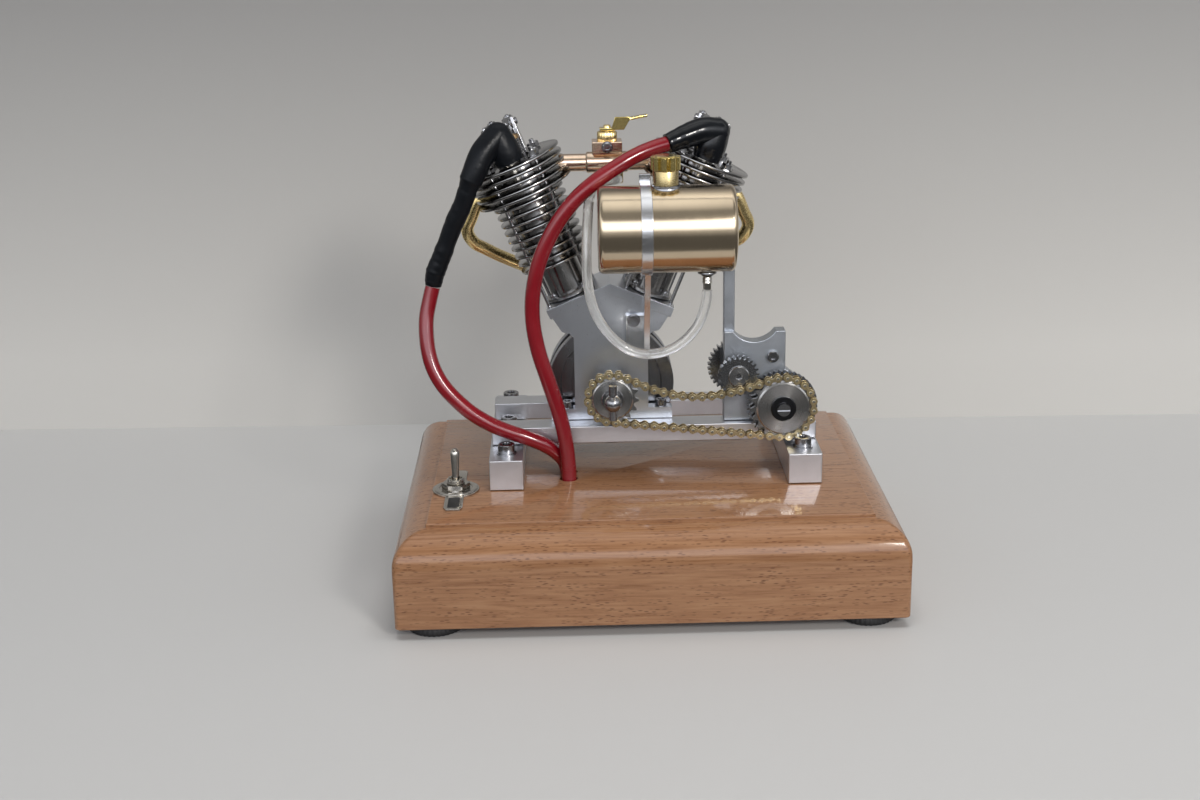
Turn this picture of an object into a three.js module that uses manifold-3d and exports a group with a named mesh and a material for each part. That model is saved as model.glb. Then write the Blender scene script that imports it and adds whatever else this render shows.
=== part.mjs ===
// Miniature air-cooled 45 degree V-twin engine on a wooden base. Millimetres, +Z up,
// +X right, +Y away from the viewer; the origin is the centre of the base's underside.
import * as THREE from 'three';
import Module from 'manifold-3d';
import { mergeVertices } from 'three/addons/utils/BufferGeometryUtils.js';

const kernel = await Module();
kernel.setup();

// ---- driving dimensions ----
const GAP = 0.2;
const BANK_ANGLE = THREE.MathUtils.degToRad(22.5);

const base = { length: 160, depth: 124, foot: 3.5, side: 19.7, crown: 10.2, step: 1.2, border: 10.2 };
const baseSideTop = base.foot + base.side;
const crownTop = baseSideTop + base.crown;
const fieldTop = crownTop + base.step;
const leadHole = { x: -25.2, y: -10.7, sizeX: 7, sizeY: 12.6 };
const cavity = { halfX: 72, halfY: 38, top: 28 };

const crossFoot = { width: 10.9, front: -24.4, back: 47.4, height: 10.3, leftX: -45.4, rightX: 51.6 };
const railBottom = fieldTop + crossFoot.height;
const rail = { height: 6, width: 9, frontY: -9, backY: 18, left: -50.4, right: 57 };
const railTop = railBottom + rail.height;

const crank = { x: -10.4, y: 9, z: 61.8, radius: 7.5, shaft: 2.5 };
const caseFront = -2;
const caseBack = 20;
const wall = 4.5;
const deckDistance = 32.9;
const flywheel = { radius: 21, thickness: 3.4, frontY: 3.1, backY: 11.5 };

const bore = 5.3;
const barrel = {
  bottom: 33.1, skirt: 6.5, skirtTop: 45.4, fin: 12.25, root: 7.6, pitch: 2.75, fins: 9, top: 69.8,
};
const head = { bottom: 70, core: 9.2, disc: 16.2, pitch: 2.5, thickness: 1.1, discs: 5 };
const headTop = head.bottom + head.pitch * (head.discs - 1) + head.thickness;
const rodLength = 53;

const chainPitch = 3.175;
const chainY = -13.5;
const chain = { width: 2.9, half: 1.25, slot: 1.3, links: 54 };
const smallTeeth = 16;
const largeTeeth = 20;
const drive = { x: 45.3, z: 57.5 };

const timingModule = 0.8;
const timingTeeth = 12;
const starterTeeth = 42;
const idlerTeeth = 24;
const reductionTeeth = 33;
const idlerDistance = 17.6;
const starterModule = (2 * idlerDistance) / (starterTeeth + idlerTeeth);

const tank = { x0: -14.5, x1: 28.4, y: -22.5, z: 119.5, radius: 13.6, wall: 0.9 };
const carb = { y: 9, z: 135.5 };
const toggle = { x: -62, y: -22.4, tilt: THREE.MathUtils.degToRad(10) };

// ---- finishes ----
function finish(color, roughness, metalness) {
  return { color, roughness, metalness };
}
const finishes = {
  wood: finish(0xb8835a, 0.35, 0),
  cover: finish(0x9c7a54, 0.7, 0),
  rubber: finish(0x161616, 0.8, 0),
  aluminium: finish(0xc3c8d0, 0.35, 1),
  steel: finish(0x8b8d92, 0.25, 1),
  darkSteel: finish(0x4a4a4d, 0.35, 1),
  brass: finish(0xc9a55a, 0.3, 1),
  chainBrass: finish(0xc9b26a, 0.35, 1),
  redSilicone: finish(0xa81c2c, 0.3, 0),
  clearSilicone: finish(0xc9c7bf, 0.4, 0),
  blackRubber: finish(0x141618, 0.4, 0),
  nickel: finish(0xc8c4bc, 0.2, 1),
  plastic: finish(0x202326, 0.5, 0),
};

// ---- solids ----
function toManifold(geometry) {
  const plain = new THREE.BufferGeometry();
  plain.setAttribute('position', geometry.attributes.position);
  plain.setIndex(geometry.index);
  const welded = mergeVertices(plain, 1e-4);
  const source = welded.index.array;
  const triangles = [];
  for (let i = 0; i < source.length; i += 3) {
    const [a, b, c] = [source[i], source[i + 1], source[i + 2]];
    if (a !== b && b !== c && c !== a) triangles.push(a, b, c);
  }
  const build = (list) => new kernel.Manifold(new kernel.Mesh({
    numProp: 3,
    vertProperties: new Float32Array(welded.attributes.position.array),
    triVerts: new Uint32Array(list),
  }));
  const made = build(triangles);
  if (made.volume() > 0) return made;
  return build(triangles.reverse());
}

function join(...parts) {
  return parts.reduce((whole, part) => whole.add(part));
}

function cut(whole, ...tools) {
  return tools.reduce((left, tool) => left.subtract(tool), whole);
}

function box(x0, x1, y0, y1, z0, z1) {
  const geometry = new THREE.BoxGeometry(x1 - x0, y1 - y0, z1 - z0);
  geometry.translate((x0 + x1) / 2, (y0 + y1) / 2, (z0 + z1) / 2);
  return toManifold(geometry);
}

// Straight rod from point a to point b, given as [x, y, z].
function rod(radius, a, b, sides = 12, endRadius = radius) {
  const from = new THREE.Vector3(...a);
  const to = new THREE.Vector3(...b);
  const along = to.clone().sub(from);
  const geometry = new THREE.CylinderGeometry(endRadius, radius, along.length(), sides);
  const turn = new THREE.Quaternion();
  turn.setFromUnitVectors(new THREE.Vector3(0, 1, 0), along.clone().normalize());
  geometry.applyQuaternion(turn);
  const middle = from.add(to).multiplyScalar(0.5);
  geometry.translate(middle.x, middle.y, middle.z);
  return toManifold(geometry);
}

function ball(radius, centre) {
  const geometry = new THREE.SphereGeometry(radius, 12, 8);
  geometry.translate(...centre);
  return toManifold(geometry);
}

function shapeOf(points) {
  return new THREE.Shape(points.map(([u, v]) => new THREE.Vector2(u, v)));
}

// Outline in X and Z, thick along Y.
function plateXZ(shape, y0, y1) {
  const settings = { depth: y1 - y0, bevelEnabled: false, curveSegments: 12 };
  const geometry = new THREE.ExtrudeGeometry(shape, settings);
  geometry.rotateX(Math.PI / 2);
  geometry.translate(0, y1, 0);
  return toManifold(geometry);
}

// Outline in Y and Z, thick along X.
function plateYZ(points, x0, x1) {
  const geometry = new THREE.ExtrudeGeometry(shapeOf(points), { depth: x1 - x0, bevelEnabled: false });
  geometry.rotateX(Math.PI / 2);
  geometry.rotateZ(Math.PI / 2);
  geometry.translate(x0, 0, 0);
  return toManifold(geometry);
}

// Profile of [radius, height] pairs turned about Z.
function turned(profile, sides = 28) {
  const points = profile.map(([r, h]) => new THREE.Vector2(r, h));
  const geometry = new THREE.LatheGeometry(points, sides);
  geometry.rotateX(Math.PI / 2);
  return toManifold(geometry);
}

function tube(radius, points, sides = 8, steps = points.length * 3) {
  const curve = new THREE.CatmullRomCurve3(points.map((p) => new THREE.Vector3(...p)));
  const circle = [];
  for (let i = 0; i < sides; i += 1) {
    const angle = (2 * Math.PI * i) / sides;
    circle.push([radius * Math.cos(angle), radius * Math.sin(angle)]);
  }
  const options = { steps, bevelEnabled: false, extrudePath: curve };
  return toManifold(new THREE.ExtrudeGeometry(shapeOf(circle), options));
}

function gearOutline(module, teeth, toothAngle, cx, cz) {
  const pitchRadius = (teeth * module) / 2;
  const root = pitchRadius - 1.1 * module;
  const tip = pitchRadius + 0.8 * module;
  const step = (2 * Math.PI) / teeth;
  const corners = [[root, -0.27], [tip, -0.1], [tip, 0.1], [root, 0.27]];
  const points = [];
  for (let i = 0; i < teeth; i += 1) {
    for (const [radius, share] of corners) {
      const angle = toothAngle + step * (i + share);
      points.push([cx + radius * Math.cos(angle), cz + radius * Math.sin(angle)]);
    }
  }
  return shapeOf(points);
}

const model = new THREE.Group();

function addTo(group, name, manifold, look) {
  const source = manifold.getMesh();
  const geometry = new THREE.BufferGeometry();
  geometry.setAttribute('position', new THREE.BufferAttribute(new Float32Array(source.vertProperties), 3));
  geometry.setIndex(new THREE.BufferAttribute(new Uint32Array(source.triVerts), 1));
  geometry.computeVertexNormals();
  const mesh = new THREE.Mesh(geometry, new THREE.MeshStandardMaterial(look));
  mesh.name = name;
  group.add(mesh);
}

function add(name, manifold, look) {
  addTo(model, name, manifold, look);
}

// ---- wooden base ----
function makeBase() {
  const { length, depth, border, crown, foot } = base;
  const halfX = length / 2;
  const halfY = depth / 2;
  const rectangle = (x, y) => shapeOf([[-x, -y], [x, -y], [x, y], [-x, y]]);
  const block = new THREE.ExtrudeGeometry(rectangle(halfX - border, halfY - border), {
    depth: base.side + crown,
    bevelThickness: crown,
    bevelSize: border,
    bevelSegments: 6,
  });
  block.translate(0, 0, foot - crown);
  const corner = 4;
  const outline = new THREE.Shape();
  outline.moveTo(-halfX + corner, -halfY);
  outline.lineTo(halfX - corner, -halfY);
  outline.absarc(halfX - corner, -halfY + corner, corner, -Math.PI / 2, 0);
  outline.absarc(halfX - corner, halfY - corner, corner, 0, Math.PI / 2);
  outline.absarc(-halfX + corner, halfY - corner, corner, Math.PI / 2, Math.PI);
  outline.absarc(-halfX + corner, -halfY + corner, corner, Math.PI, 1.5 * Math.PI);
  const column = new THREE.ExtrudeGeometry(outline, { depth: 60, bevelEnabled: false, curveSegments: 4 });
  column.translate(0, 0, foot);
  const fieldX = halfX - border;
  const fieldY = halfY - border;
  const field = box(-fieldX, fieldX, -fieldY, fieldY, crownTop - 1, fieldTop);
  const body = join(toManifold(block).intersect(toManifold(column)), field);
  const hollow = box(-cavity.halfX, cavity.halfX, -cavity.halfY, cavity.halfY, 0, cavity.top);
  const rabbet = box(-cavity.halfX - 3, cavity.halfX + 3, -cavity.halfY - 2.5, cavity.halfY + 2.5, 0, 6.5);
  const { x, y } = leadHole;
  const [reachX, reachY] = [leadHole.sizeX / 2, leadHole.sizeY / 2];
  const slot = box(x - reachX, x + reachX, y - reachY, y + reachY, cavity.top - 1, fieldTop + 1);
  const bushHole = rod(3.4, [toggle.x, toggle.y, cavity.top - 1], [toggle.x, toggle.y, fieldTop + 1]);
  return cut(body, hollow, rabbet, slot, bushHole);
}
add('wooden_base', makeBase(), finishes.wood);
add('bottom_cover', box(-74.7, 74.7, -40.2, 40.2, 3.9, 6.3), finishes.cover);
add('ignition_module', box(-50, -8, -20, 12, 6.5, 21), finishes.plastic);

const rubberFoot = { radius: 9.1, x: 68, y: 51.2 };
for (const [depth, signY] of [['front', -1], ['back', 1]]) {
  for (const [side, signX] of [['left', -1], ['right', 1]]) {
    const { radius, x, y } = rubberFoot;
    const top = base.foot - GAP;
    const profile = [[0, 0], [radius - 0.8, 0], [radius, 0.8], [radius, 2.6], [radius - 0.6, top], [0, top]];
    const foot = turned(profile, 20).translate([signX * x, signY * y, 0]);
    add(`rubber_foot_${depth}_${side}`, foot, finishes.rubber);
  }
}

// ---- frame ----
for (const [side, x] of [['left', crossFoot.leftX], ['right', crossFoot.rightX]]) {
  const half = crossFoot.width / 2;
  const bar = box(x - half, x + half, crossFoot.front, crossFoot.back, fieldTop + GAP, railBottom);
  add(`cross_foot_${side}`, bar, finishes.aluminium);
}
for (const [place, y] of [['front', rail.frontY], ['back', rail.backY]]) {
  const bar = box(rail.left, rail.right, y, y + rail.width, railBottom + GAP, railTop);
  add(`${place}_rail`, bar, finishes.aluminium);
}

// ---- crankcase, outline relative to the crank axis ----
function makeCrankcase() {
  const tan = Math.tan(BANK_ANGLE);
  const apex = deckDistance / Math.cos(BANK_ANGLE);
  const deckHalf = 21;
  const deckEnd = apex - deckHalf * tan;
  const flange = 3.2;
  const under = [deckHalf - flange * Math.sin(BANK_ANGLE), deckEnd - flange * Math.cos(BANK_ANGLE)];
  const footBottom = railTop + GAP - crank.z;
  const half = [
    [20.1, footBottom], [20.1, -7], [12.2, -7], [12.2, 17.6], [13.6, 19.1], [16, 19.6],
    [under[0] - 0.8, under[1] + 0.3], under, [deckHalf, deckEnd], [0, apex],
  ];
  const mirrored = half.slice(0, -1).reverse().map(([x, z]) => [-x, z]);
  const outline = [...half, ...mirrored].map(([x, z]) => [x + crank.x, z + crank.z]);
  const body = plateXZ(shapeOf(outline), caseFront, caseBack);
  const innerFront = caseFront + wall;
  const innerBack = caseBack - wall;
  const pocketRadius = flywheel.radius + 0.8;
  const pocket = rod(pocketRadius, [crank.x, innerFront, crank.z], [crank.x, innerBack, crank.z], 36);
  const lower = box(crank.x - 30, crank.x + 30, innerFront, innerBack, crank.z - 20, crank.z);
  const mainHole = rod(crank.shaft + 0.3, [crank.x, -5, crank.z], [crank.x, 25, crank.z]);
  const camZ = crank.z + 1.5 * timingTeeth * timingModule;
  const camHole = rod(2.1, [crank.x, 12, camZ], [crank.x, 25, camZ]);
  const bores = [-1, 1].map((side) => {
    const lean = [side * Math.sin(BANK_ANGLE), Math.cos(BANK_ANGLE)];
    const at = (s) => [crank.x + lean[0] * s, crank.y, crank.z + lean[1] * s];
    return rod(5.8, at(14), at(40), 24);
  });
  return cut(body, pocket, lower, mainHole, camHole, ...bores);
}
add('crankcase', makeCrankcase(), finishes.aluminium);

// ---- crankshaft halves, timing gears ----
function disc(y0, recessSide) {
  const y1 = y0 + flywheel.thickness;
  const { x, z } = crank;
  const plain = rod(flywheel.radius, [x, y0, z], [x, y1, z], 24);
  const face = recessSide < 0 ? [y0 - 1, y0 + 1] : [y1 - 1, y1 + 1];
  const hub = rod(6, [x, face[0], z], [x, face[1], z]);
  const ring = rod(17, [x, face[0], z], [x, face[1], z], 20).subtract(hub);
  return plain.subtract(ring);
}

function makeFrontHalf() {
  const { x, z, shaft } = crank;
  const ballY = -18.9;
  return join(
    disc(flywheel.frontY, -1),
    rod(shaft, [x, -17, z], [x, flywheel.frontY + 1, z]),
    ball(2.9, [x, ballY, z]),
    rod(1.3, [x, ballY + 0.4, z - 5.8], [x, ballY + 0.4, z + 5.8], 12),
  );
}

function makeRearHalf() {
  const { x, z, shaft } = crank;
  return join(
    disc(flywheel.backY, 1),
    rod(shaft, [x, flywheel.backY + 1, z], [x, 24.6, z]),
    plateXZ(gearOutline(timingModule, timingTeeth, Math.PI / 2, x, z), 20.6, 23.6),
  );
}

function makeCamshaft() {
  const { x } = crank;
  const z = crank.z + 1.5 * timingTeeth * timingModule;
  const meshAngle = -Math.PI / 2 + Math.PI / (2 * timingTeeth);
  const lobe = new THREE.Shape();
  lobe.absellipse(x, z, 6, 4.4, 0, 2 * Math.PI, false, 0);
  return join(
    rod(1.8, [x, 15.9, z], [x, 29.6, z], 16),
    plateXZ(gearOutline(timingModule, 2 * timingTeeth, meshAngle, x, z), 20.6, 23.6),
    plateXZ(lobe, 25, 28.4),
  );
}
add('crank_front_half', makeFrontHalf(), finishes.steel);
add('crank_rear_half', makeRearHalf(), finishes.steel);
add('camshaft_gear', makeCamshaft(), finishes.darkSteel);

// ---- the two banks, each in its own leaning frame: Z runs up the bore ----
const pinRest = crank.radius * Math.cos(BANK_ANGLE)
  + Math.sqrt(rodLength ** 2 - (crank.radius * Math.sin(BANK_ANGLE)) ** 2);
const valveX = 2.9;
const valveY = -1;
const rockerY = 8.5;
const rockerS = 91.3;
const pushrodY = 17.6;
const stemTop = rockerS - 1.6;
const rockerTop = rockerS + 1.9;
const plugY = -9;
const exhaustRadius = 1.8;

function makeCylinder() {
  const { bottom, skirt, skirtTop, fin, root, pitch, fins, top } = barrel;
  const flange = 8.4;
  const flangeTop = bottom + 1.5;
  const profile = [[bore, bottom], [flange, bottom], [flange, flangeTop], [skirt, flangeTop], [skirt, skirtTop]];
  for (let i = 0; i < fins; i += 1) {
    const s = skirtTop + i * pitch;
    profile.push([fin, s], [fin, s + 1], [root, s + 1]);
    if (i < fins - 1) profile.push([root, s + pitch]);
  }
  profile.push([root, top], [bore, top], [bore, bottom]);
  return turned(profile, 16);
}

function exhaustTube(outward, radius) {
  const route = [
    [9.6, 3, 75.4], [12.8, 3, 74.8], [16.6, 3, 72.3], [20.3, 3.5, 68.6], [22.9, 4, 66.1], [23.8, 4.5, 63.5],
    [23.2, 5.5, 60], [21.1, 7, 56.8], [17.6, 10, 51.6], [12.4, 13, 45.2],
  ].map(([u, y, s]) => [outward * u, y, s]);
  return tube(radius, route, 8, 14);
}

function makeHead(outward) {
  const { bottom, core, disc: radius, pitch, thickness, discs } = head;
  const profile = [[0, bottom]];
  for (let i = 0; i < discs; i += 1) {
    const s = bottom + i * pitch;
    profile.push([radius, s], [radius, s + thickness]);
    if (i < discs - 1) profile.push([core, s + thickness], [core, s + pitch]);
  }
  profile.push([0, headTop]);
  return cut(
    turned(profile, 18),
    rod(1.9, [0, plugY, 73], [0, plugY, 90], 10),
    rod(1.1, [valveX, valveY, 73], [valveX, valveY, 90], 8),
    rod(1.1, [-valveX, valveY, 73], [-valveX, valveY, 90], 8),
    exhaustTube(outward, exhaustRadius + 0.6),
  );
}

function makePiston() {
  const crown = pinRest + 7;
  const bottom = pinRest - 4;
  return cut(
    rod(5, [0, 0, bottom], [0, 0, crown], 24),
    rod(3.7, [0, 0, bottom - 1], [0, 0, pinRest + 4.5], 20),
    rod(1.5, [0, -7, pinRest], [0, 7, pinRest], 12),
  );
}

// The big end stands where the crank pin is when that pin is at the top of its circle.
function makeRod(side) {
  const bigEnd = [-side * crank.radius * Math.sin(BANK_ANGLE), crank.radius * Math.cos(BANK_ANGLE)];
  const y0 = side < 0 ? -2.2 : 0.2;
  const y1 = y0 + 2;
  const shank = [[bigEnd[0] - 1.8, bigEnd[1]], [bigEnd[0] + 1.8, bigEnd[1]], [1.3, pinRest], [-1.3, pinRest]];
  return join(
    plateXZ(shapeOf(shank), y0, y1),
    rod(4.2, [bigEnd[0], y0, bigEnd[1]], [bigEnd[0], y1, bigEnd[1]]),
    rod(2.4, [0, y0, pinRest], [0, y1, pinRest], 16),
    rod(1.2, [0, -4.6, pinRest], [0, 4.6, pinRest], 12),
  );
}

function makeValve(x) {
  const stem = 0.8;
  const retainer = 2.5;
  const low = stemTop - 2.3;
  const profile = [
    [0, 75.5], [stem, 75.5], [stem, low], [retainer, low], [retainer, low + 1.1], [stem, low + 1.1],
    [stem, stemTop], [0, stemTop],
  ];
  return turned(profile, 14).translate([x, valveY, 0]);
}

function makeRocker(x) {
  const padLow = stemTop + 0.3;
  const padTop = stemTop + 2.1;
  const hubLow = rockerS - 1.7;
  const outline = [
    [-2.6, padLow], [0.2, padLow], [rockerY - 2, hubLow], [rockerY + 2, hubLow],
    [pushrodY - 1.2, padLow], [pushrodY + 1.4, padLow], [pushrodY + 1.4, padTop], [rockerY + 2, rockerTop],
    [rockerY - 2, rockerTop], [-2.6, padTop],
  ];
  const arm = plateYZ(outline, x - 1.1, x + 1.1);
  return arm.subtract(rod(1.25, [x - 2, rockerY, rockerS], [x + 2, rockerY, rockerS], 12));
}

function makeRockerStand() {
  const reach = 5.4;
  const thickness = 1;
  const bottom = headTop + GAP;
  const [footHalf, topHalf] = [4, 1.8];
  const outline = [
    [rockerY - footHalf, bottom], [rockerY + footHalf, bottom],
    [rockerY + topHalf, rockerTop], [rockerY - topHalf, rockerTop],
  ];
  return join(
    plateYZ(outline, -reach, -reach + thickness),
    plateYZ(outline, reach - thickness, reach),
    box(-reach, reach, rockerY - footHalf, rockerY + footHalf, bottom, bottom + 1.2),
    rod(0.95, [-reach, rockerY, rockerS], [reach, rockerY, rockerS], 12),
  );
}

function makePlug() {
  return join(
    rod(1.6, [0, plugY, 74], [0, plugY, 82], 12),
    rod(2.9, [0, plugY, headTop + GAP], [0, plugY, 84.4], 6),
    rod(1.4, [0, plugY, 84], [0, plugY, 89.5], 12),
  );
}

for (const [name, side] of [['left', -1], ['right', 1]]) {
  const bank = new THREE.Group();
  bank.position.set(crank.x, crank.y, crank.z);
  bank.rotation.y = side * BANK_ANGLE;
  model.add(bank);
  const inward = -side;
  addTo(bank, `cylinder_${name}`, makeCylinder(), finishes.darkSteel);
  addTo(bank, `cylinder_head_${name}`, makeHead(side), finishes.darkSteel);
  addTo(bank, `piston_${name}`, makePiston(), finishes.aluminium);
  addTo(bank, `connecting_rod_${name}`, makeRod(side), finishes.steel);
  addTo(bank, `rocker_stand_${name}`, makeRockerStand(), finishes.steel);
  addTo(bank, `spark_plug_${name}`, makePlug(), finishes.nickel);
  addTo(bank, `exhaust_pipe_${name}`, exhaustTube(side, exhaustRadius), finishes.brass);
  const valves = [['intake', inward * valveX, [6, 20.2]], ['exhaust', side * valveX, [0.2, 17.8]]];
  for (const [valve, x, foot] of valves) {
    addTo(bank, `${valve}_valve_${name}`, makeValve(x), finishes.steel);
    addTo(bank, `${valve}_rocker_${name}`, makeRocker(x), finishes.darkSteel);
    const pushrod = rod(0.9, [inward * foot[0], pushrodY, foot[1]], [x, pushrodY, stemTop], 10);
    addTo(bank, `${valve}_pushrod_${name}`, pushrod, finishes.steel);
  }
}

// A point of a bank's frame, in the model's frame.
function bankPoint(side, x, y, s) {
  const lean = side * BANK_ANGLE;
  return [
    crank.x + x * Math.cos(lean) + s * Math.sin(lean),
    crank.y + y,
    crank.z - x * Math.sin(lean) + s * Math.cos(lean),
  ];
}

// ---- plug caps ----
function makePlugCap(side, arm, armRadius) {
  const at = (s) => bankPoint(side, 0, plugY, s);
  const knee = 4.3;
  const leg = join(rod(4.8, at(81.8), at(91.3), 16, knee), ball(knee, at(91.3)));
  const socket = join(rod(3.2, at(80), at(84.7), 12), rod(1.75, at(84), at(90), 12));
  return join(leg, tube(armRadius, [at(91.3), ...arm], 10, 12)).subtract(socket);
}
const capLeftRoute = [
  [-50.2, -3.2, 140.9], [-52.9, -5, 135.4], [-54.7, -5.3, 131.4], [-57.2, -4.5, 124.8],
  [-60.4, -3.2, 118.2], [-64.5, -2.1, 108.2], [-67, -2, 102.4], [-67.9, -2, 98.6],
];
const capRightRoute = [[19.8, -1.8, 146.6], [14, -4, 145.2], [8.4, -6, 143.4]];
add('plug_cap_left', makePlugCap(-1, capLeftRoute, 3.3), finishes.blackRubber);
add('plug_cap_right', makePlugCap(1, capRightRoute, 3.9), finishes.blackRubber);

// ---- intake and throttle ----
function makeManifold() {
  const { y, z } = carb;
  const pipe = rod(2.85, [-30, y, z], [14, y, z]);
  const bulge = rod(3.45, [-17.1, y, z], [-3.9, y, z]);
  const flat = box(-15.3, -5.5, y - 4, y + 4, z, 139);
  const envelope = [-1, 1].map((side) => {
    const from = bankPoint(side, 0, 0, 60);
    const to = bankPoint(side, 0, 0, 90);
    return rod(head.disc + 0.4, from, to, 28);
  });
  const inlet = rod(1.8, [-7, y, 128.6], [-7, y, z - 2], 12);
  const barb = rod(1.3, [-7, 7.3, 130.2], [-7, y, 130.2], 12);
  return cut(join(pipe, bulge, flat, inlet, barb), ...envelope);
}

function makeCarburettor() {
  const { y } = carb;
  return join(
    box(-15.3, -5.5, y - 4, y + 4, 139 + GAP, 142.6),
    rod(3, [-10.3, y, 142], [-10.3, y, 145.6], 16),
    rod(1.2, [-10.3, y, 145], [-10.3, y, 147.6], 12),
  );
}

function makeThrottleLever() {
  const { y } = carb;
  const x = -10.3;
  const plate = plateXZ(shapeOf([
    [x - 2.4, 145.9], [x + 2.4, 145.9], [-3.8, 148.9], [2.7, 150.1],
    [2.7, 150.8], [-4.2, 149.7], [x + 2, 146.7], [x - 2.4, 146.7],
  ]), y - 1.9, y + 1.9);
  const trim = box(-4, 4, y + 0.9, y + 3, 140, 155);
  return cut(plate, rod(1.5, [x, y, 140], [x, y, 150], 12), trim);
}
add('intake_manifold', makeManifold(), finishes.brass);
add('carburettor_body', makeCarburettor(), finishes.brass);
add('throttle_lever', makeThrottleLever(), finishes.brass);

// ---- fuel tank on its bracket ----
function turnedAlongX(profile, y, z, sides) {
  return turned(profile, sides).rotate([0, 90, 0]).translate([0, y, z]);
}

function makeTank() {
  const { x0, x1, y, z, radius } = tank;
  const shell = (inset) => {
    const r = radius - inset;
    const [a, b] = [x0 + inset, x1 - inset];
    const profile = [
      [0, a], [r - 1.8, a], [r - 0.5, a + 0.6], [r, a + 1.8],
      [r, b - 1.8], [r - 0.5, b - 0.6], [r - 1.8, b], [0, b],
    ];
    return turnedAlongX(profile, y, z, 24);
  };
  const neckX = 6.85;
  const outletX = 19.7;
  const top = z + radius;
  const outer = join(
    shell(0),
    rod(4.1, [neckX, y, top - 2], [neckX, y, 138], 20),
    rod(2.4, [outletX, y, z - radius - 0.9], [outletX, y, z - radius + 1.4], 12),
    rod(1.3, [outletX, y, 100], [outletX, y, z - radius + 1], 12),
  );
  return cut(outer, shell(tank.wall), rod(3.2, [neckX, y, top - 4], [neckX, y, 140], 16));
}

function makeFillerCap() {
  const { y } = tank;
  const x = 6.85;
  const knurl = [];
  const lobes = 10;
  for (let i = 0; i < lobes; i += 1) {
    const angle = (2 * Math.PI * i) / lobes;
    knurl.push(rod(0.8, [x + 4.9 * Math.cos(angle), y + 4.9 * Math.sin(angle), 137],
      [x + 4.9 * Math.cos(angle), y + 4.9 * Math.sin(angle), 145], 6));
  }
  const grip = rod(4.75, [x, y, 138.2], [x, y, 142.5], 30);
  const plug = rod(2.8, [x, y, 134.5], [x, y, 139], 16);
  return cut(join(grip, plug), ...knurl);
}

function makeTankBracket() {
  const { y, z, radius } = tank;
  const [x0, x1] = [-1.3, 2.3];
  const inner = rod(radius + GAP, [x0 - 1, y, z], [x1 + 1, y, z], 28);
  const band = rod(radius + 0.8, [x0, y, z], [x1, y, z], 28);
  const clampTab = box(x0, x1, y + 2.4, y + 4.2, z + radius - 0.8, 136.3);
  const webX = [0.4, 2.3];
  const web = plateYZ([
    [caseFront - 0.3, 75], [caseFront - 0.3, 87], [y + 9, 108], [y - 1, 106.4],
    [y - 1, 104.9], [y + 4, 104.6], [caseFront - 5, 84], [caseFront - 4, 75],
  ], ...webX);
  const pad = box(-5.4, webX[1], caseFront - 1.6, caseFront - GAP, 75, 87);
  return join(band, clampTab, web, pad).subtract(inner);
}
add('fuel_tank', makeTank(), finishes.brass);
add('filler_cap', makeFillerCap(), finishes.brass);
add('tank_bracket', makeTankBracket(), finishes.aluminium);

// ---- chain drive ----
const smallRadius = chainPitch / (2 * Math.sin(Math.PI / smallTeeth));
const largeRadius = chainPitch / (2 * Math.sin(Math.PI / largeTeeth));

// The chain's centre line, moved outward by offset: tight below, slack above.
function chainPath(offset) {
  const small = { x: crank.x, z: crank.z, r: smallRadius };
  const large = { x: drive.x, z: drive.z, r: largeRadius };
  const dx = large.x - small.x;
  const dz = large.z - small.z;
  const distance = Math.hypot(dx, dz);
  const slope = Math.atan2(dz, dx);
  const lower = slope - Math.PI / 2 - Math.asin((large.r - small.r) / distance);
  const build = (lean) => {
    const points = [];
    const arc = (wheel, from, to, steps) => {
      for (let i = 0; i <= steps; i += 1) {
        const a = from + ((to - from) * i) / steps;
        points.push([wheel.x + wheel.r * Math.cos(a), wheel.z + wheel.r * Math.sin(a)]);
      }
    };
    const upperLarge = slope + Math.PI / 2 + lean;
    const upperSmall = slope + Math.PI / 2 - lean;
    arc(large, lower, upperLarge, 16);
    const start = points[points.length - 1];
    const end = [small.x + small.r * Math.cos(upperSmall), small.z + small.r * Math.sin(upperSmall)];
    const reach = Math.hypot(end[0] - start[0], end[1] - start[1]) * 0.42;
    const leave = [-Math.sin(upperLarge), Math.cos(upperLarge)];
    const arrive = [-Math.sin(upperSmall), Math.cos(upperSmall)];
    const curve = new THREE.CubicBezierCurve(
      new THREE.Vector2(...start),
      new THREE.Vector2(start[0] + leave[0] * reach, start[1] + leave[1] * reach),
      new THREE.Vector2(end[0] - arrive[0] * reach, end[1] - arrive[1] * reach),
      new THREE.Vector2(...end),
    );
    for (const p of curve.getPoints(14).slice(1, -1)) points.push([p.x, p.y]);
    arc(small, upperSmall, lower + 2 * Math.PI, 16);
    return points;
  };
  const lengthOf = (points) => points.reduce((sum, p, i) => {
    const q = points[(i + 1) % points.length];
    return sum + Math.hypot(q[0] - p[0], q[1] - p[1]);
  }, 0);
  let [low, high] = [0, 1];
  for (let i = 0; i < 30; i += 1) {
    const middle = (low + high) / 2;
    if (lengthOf(build(middle)) < chain.links * chainPitch) low = middle;
    else high = middle;
  }
  const line = build(low);
  return line.map((p, i) => {
    const before = line[(i + line.length - 1) % line.length];
    const after = line[(i + 1) % line.length];
    const run = Math.hypot(after[0] - before[0], after[1] - before[1]);
    return [p[0] + (offset * (after[1] - before[1])) / run, p[1] - (offset * (after[0] - before[0])) / run];
  });
}

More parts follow.
